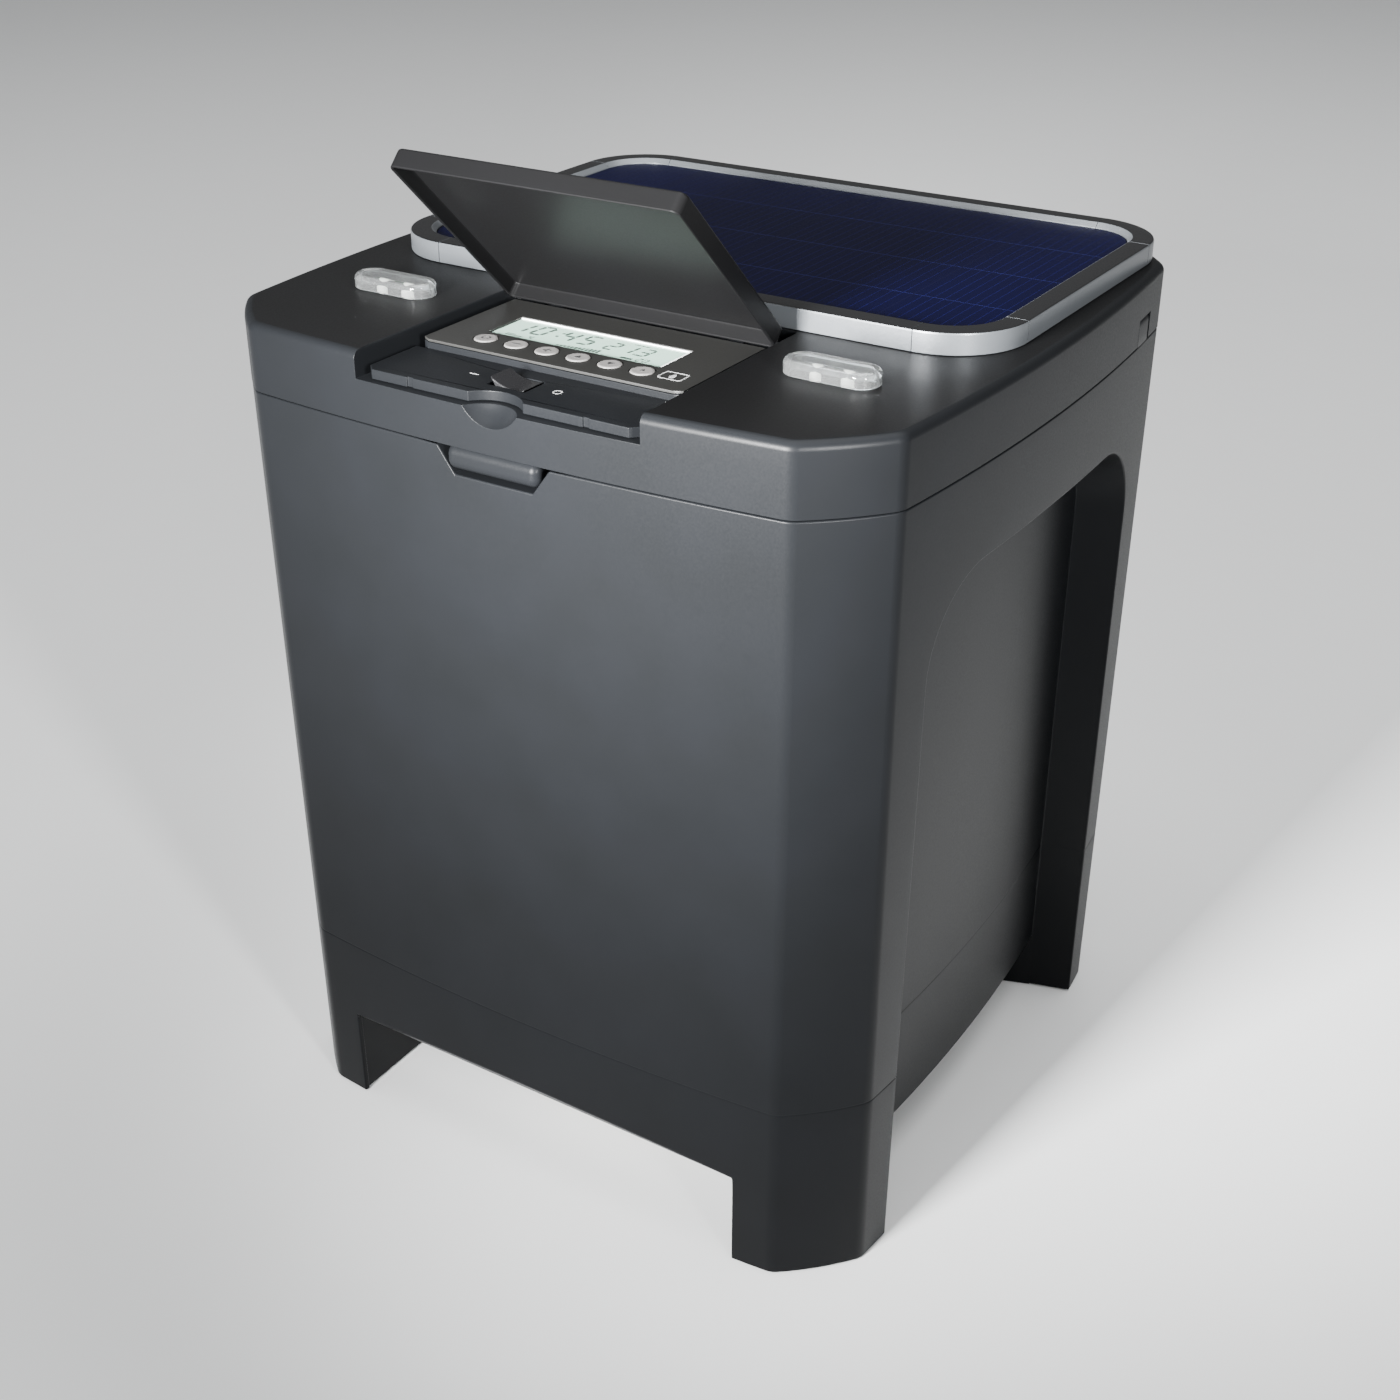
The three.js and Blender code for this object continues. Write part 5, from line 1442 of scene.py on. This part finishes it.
@dataclass
class SolarPanel:
    """The cell laminate in its frame of four straight rails and four curved corner pieces."""

    half: float = 169.0
    front: float = -52.0
    rear: float = 170.0
    radius: float = 38.0
    width: float = 13.0
    deck: float = PLAN.lid_top
    height: float = 10.4
    gap: float = 0.2
    lacquered: tuple[int, ...] = (3, 4)

    def profile(self) -> np.ndarray:
        """The frame's section as (distance in, height) points: side, lacquered top, inner bevel."""
        low, top = self.deck + 0.3, self.deck + self.height
        return np.array([[0.2, low], [0, low + 0.3], [0, top - 1.2], [0.35, top - 0.35], [1.2, top],
                         [10.6, top], [11.0, top - 0.15], [self.width, top - 2.3], [self.width, low]])

    def carry(self, path: np.ndarray, inward: np.ndarray, name: str) -> bpy.types.Object:
        """Carries the section along a path, with the faces on top tagged for lacquer."""
        section = self.profile()
        rows = path[:, None, :] + inward[:, None, :] * section[None, :, 0:1]
        heights = np.broadcast_to(section[None, :, 1:2], (len(path), len(section), 1))
        grid = np.concatenate([rows, heights], axis=2)
        skin = Skin()
        for i in range(len(section)):
            pair = grid[:, [i, (i + 1) % len(section)]]
            skin.grid(pair, tag=1 if i in self.lacquered else 0)
        skin.cap(grid[0])
        skin.cap(grid[-1])
        return skin.build(name)

    def rails(self) -> None:
        """The four straight rails."""
        x, r, g = self.half, self.radius, self.gap
        runs = {"front": ((-x + r + g, self.front), (x - r - g, self.front), (0, 1)),
                "rear": ((-x + r + g, self.rear), (x - r - g, self.rear), (0, -1)),
                "left": ((-x, self.front + r + g), (-x, self.rear - r - g), (1, 0)),
                "right": ((x, self.front + r + g), (x, self.rear - r - g), (-1, 0))}
        for side, (start, end, inward) in runs.items():
            path = np.linspace(start, end, 9)
            piece = self.carry(path, np.tile(np.array(inward, float), (len(path), 1)), f"rail_{side}")
            dress(piece, Body.LID, [FRAME_METAL, FRAME_TOP], [f"frame_rail_{side}"])

    def corners(self) -> None:
        """The four corner pieces: the section carried round a quarter circle."""
        r, trim = self.radius, self.gap / self.radius
        places = {"front_left": (-1, self.front + r, 180), "front_right": (1, self.front + r, 270),
                  "rear_left": (-1, self.rear - r, 90), "rear_right": (1, self.rear - r, 0)}
        for name, (sign, y, start) in places.items():
            a = np.linspace(math.radians(start) + trim, math.radians(start + 90) - trim, 25)
            ray = np.column_stack([np.cos(a), np.sin(a)])
            path = np.array([sign * (self.half - r), y]) + r * ray
            piece = self.carry(path, -ray, f"corner_{name}")
            dress(piece, Body.LID, [FRAME_METAL, FRAME_TOP], [f"frame_corner_{name}"])

    def laminate(self) -> None:
        """The flat laminate, with a rounded plan inside the frame."""
        edge = self.width + 0.4
        plan = rounded_box(-self.half + edge, self.half - edge, self.front + edge, self.rear - edge,
                           self.radius - edge, 12)
        low, top = self.deck + 4.3, self.deck + 7.7
        sheet = stack_piece("cell_laminate", plan, [(0, low), (0, top - 0.2), (0.2, top)])
        dress(sheet, Body.LID, [CELLS], ["solar_panel"])

    def make(self) -> None:
        """Builds and dresses the solar panel."""
        self.rails()
        self.corners()
        self.laminate()


# ---- Kept nodes, stage, camera ---------------------------------------------------------------------
def dress_nodes() -> None:
    """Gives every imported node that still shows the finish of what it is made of."""
    finishes = {"satin_black_abs": ABS_SATIN, "steel": STEEL, "hopper_grey": PP_GREY, "rubber": RUBBER,
                "nylon": NYLON, "board": BOARD, "cell_wrap": CELL_WRAP}
    slots = {row["node"]: row["material_slot"] for row in frame["record"]["subparts"]}
    for name, node in frame["nodes"].items():
        if node.hide_render or slots[name] not in finishes:
            continue
        node.data.materials.clear()
        node.data.materials.append(finishes[slots[name]].material())
        LOG.info("%s: kept, finished as %s", name, slots[name])


@dataclass
class Studio:
    """A pale floor, soft lights and the camera. Places are in metres."""

    camera: tuple[float, float, float] = (0.48105, -0.78011, 0.70000)
    aim: tuple[float, float, float] = (-0.0102, -0.00325, 0.1993)
    lens: float = 49.06
    sensor: float = 36.0
    floor_half: float = 12.0
    sky: str = "#f2f4f6"
    sky_strength: float = 0.3

    def floor(self) -> None:
        """A wide pale floor at ground level."""
        mesh = bpy.data.meshes.new("floor")
        h = self.floor_half
        mesh.from_pydata([(-h, -h, 0), (h, -h, 0), (h, h, 0), (-h, h, 0)], [], [(0, 1, 2, 3)])
        plane = bpy.data.objects.new("floor", mesh)
        bpy.context.scene.collection.objects.link(plane)
        paper = Finish("paper_backdrop_white", "#f3f4f4", "#f1f2f2", 0.9, grain=3.0, relief=0.0)
        mesh.materials.append(paper.material())

    def light(self, name: str, place: Sequence[float], at: Sequence[float], size: tuple[float, float],
              watts: float, spread: float = 180.0) -> None:
        """One rectangular soft light, turned towards a point; its spread is in degrees."""
        lamp = bpy.data.lights.new(name, "AREA")
        lamp.shape = "RECTANGLE"
        lamp.size, lamp.size_y = size
        lamp.energy = watts
        lamp.spread = math.radians(spread)
        holder = bpy.data.objects.new(name, lamp)
        holder.location = place
        holder.rotation_euler = (Vector(at) - Vector(place)).to_track_quat("-Z", "Y").to_euler()
        bpy.context.scene.collection.objects.link(holder)

    def make(self) -> None:
        """Sets up the floor, lights, surroundings and camera."""
        self.floor()
        self.light("overhead", (0.1, 0.3, 3.2), (0.0, 0.0, 0.25), (3.0, 3.0), 125)
        self.light("front_strip", (0.0, -0.85, 0.58), (0.05, -0.18, 0.46), (0.2, 0.3), 21, 66.0)
        self.light("corner_strip", (0.8, -0.6, 0.62), (0.16, -0.16, 0.52), (0.1, 0.3), 4, 60.0)
        world = bpy.data.worlds.new("studio")
        world.use_nodes = True
        back = world.node_tree.nodes["Background"]
        back.inputs[0].default_value = linear(self.sky)
        back.inputs[1].default_value = self.sky_strength
        bpy.context.scene.world = world
        data = bpy.data.cameras.new("camera")
        data.lens = self.lens
        data.sensor_width = self.sensor
        eye = bpy.data.objects.new("camera", data)
        eye.location = self.camera
        eye.rotation_euler = (Vector(self.aim) - Vector(self.camera)).to_track_quat("-Z", "Y").to_euler()
        bpy.context.scene.collection.objects.link(eye)
        bpy.context.scene.camera = eye


def main() -> None:
    """Builds the stage and every sub-assembly, and reports each piece."""
    logging.basicConfig(level=logging.INFO, format="%(name)s %(message)s")
    Studio().make()
    BodyCasing().make()
    Feet().make()
    LidCasing().make()
    Flap().make()
    Display().make()
    SwitchDeck().make()
    Lamps().make()
    SolarPanel().make()
    dress_nodes()


if __name__ == "__main__":
    main()
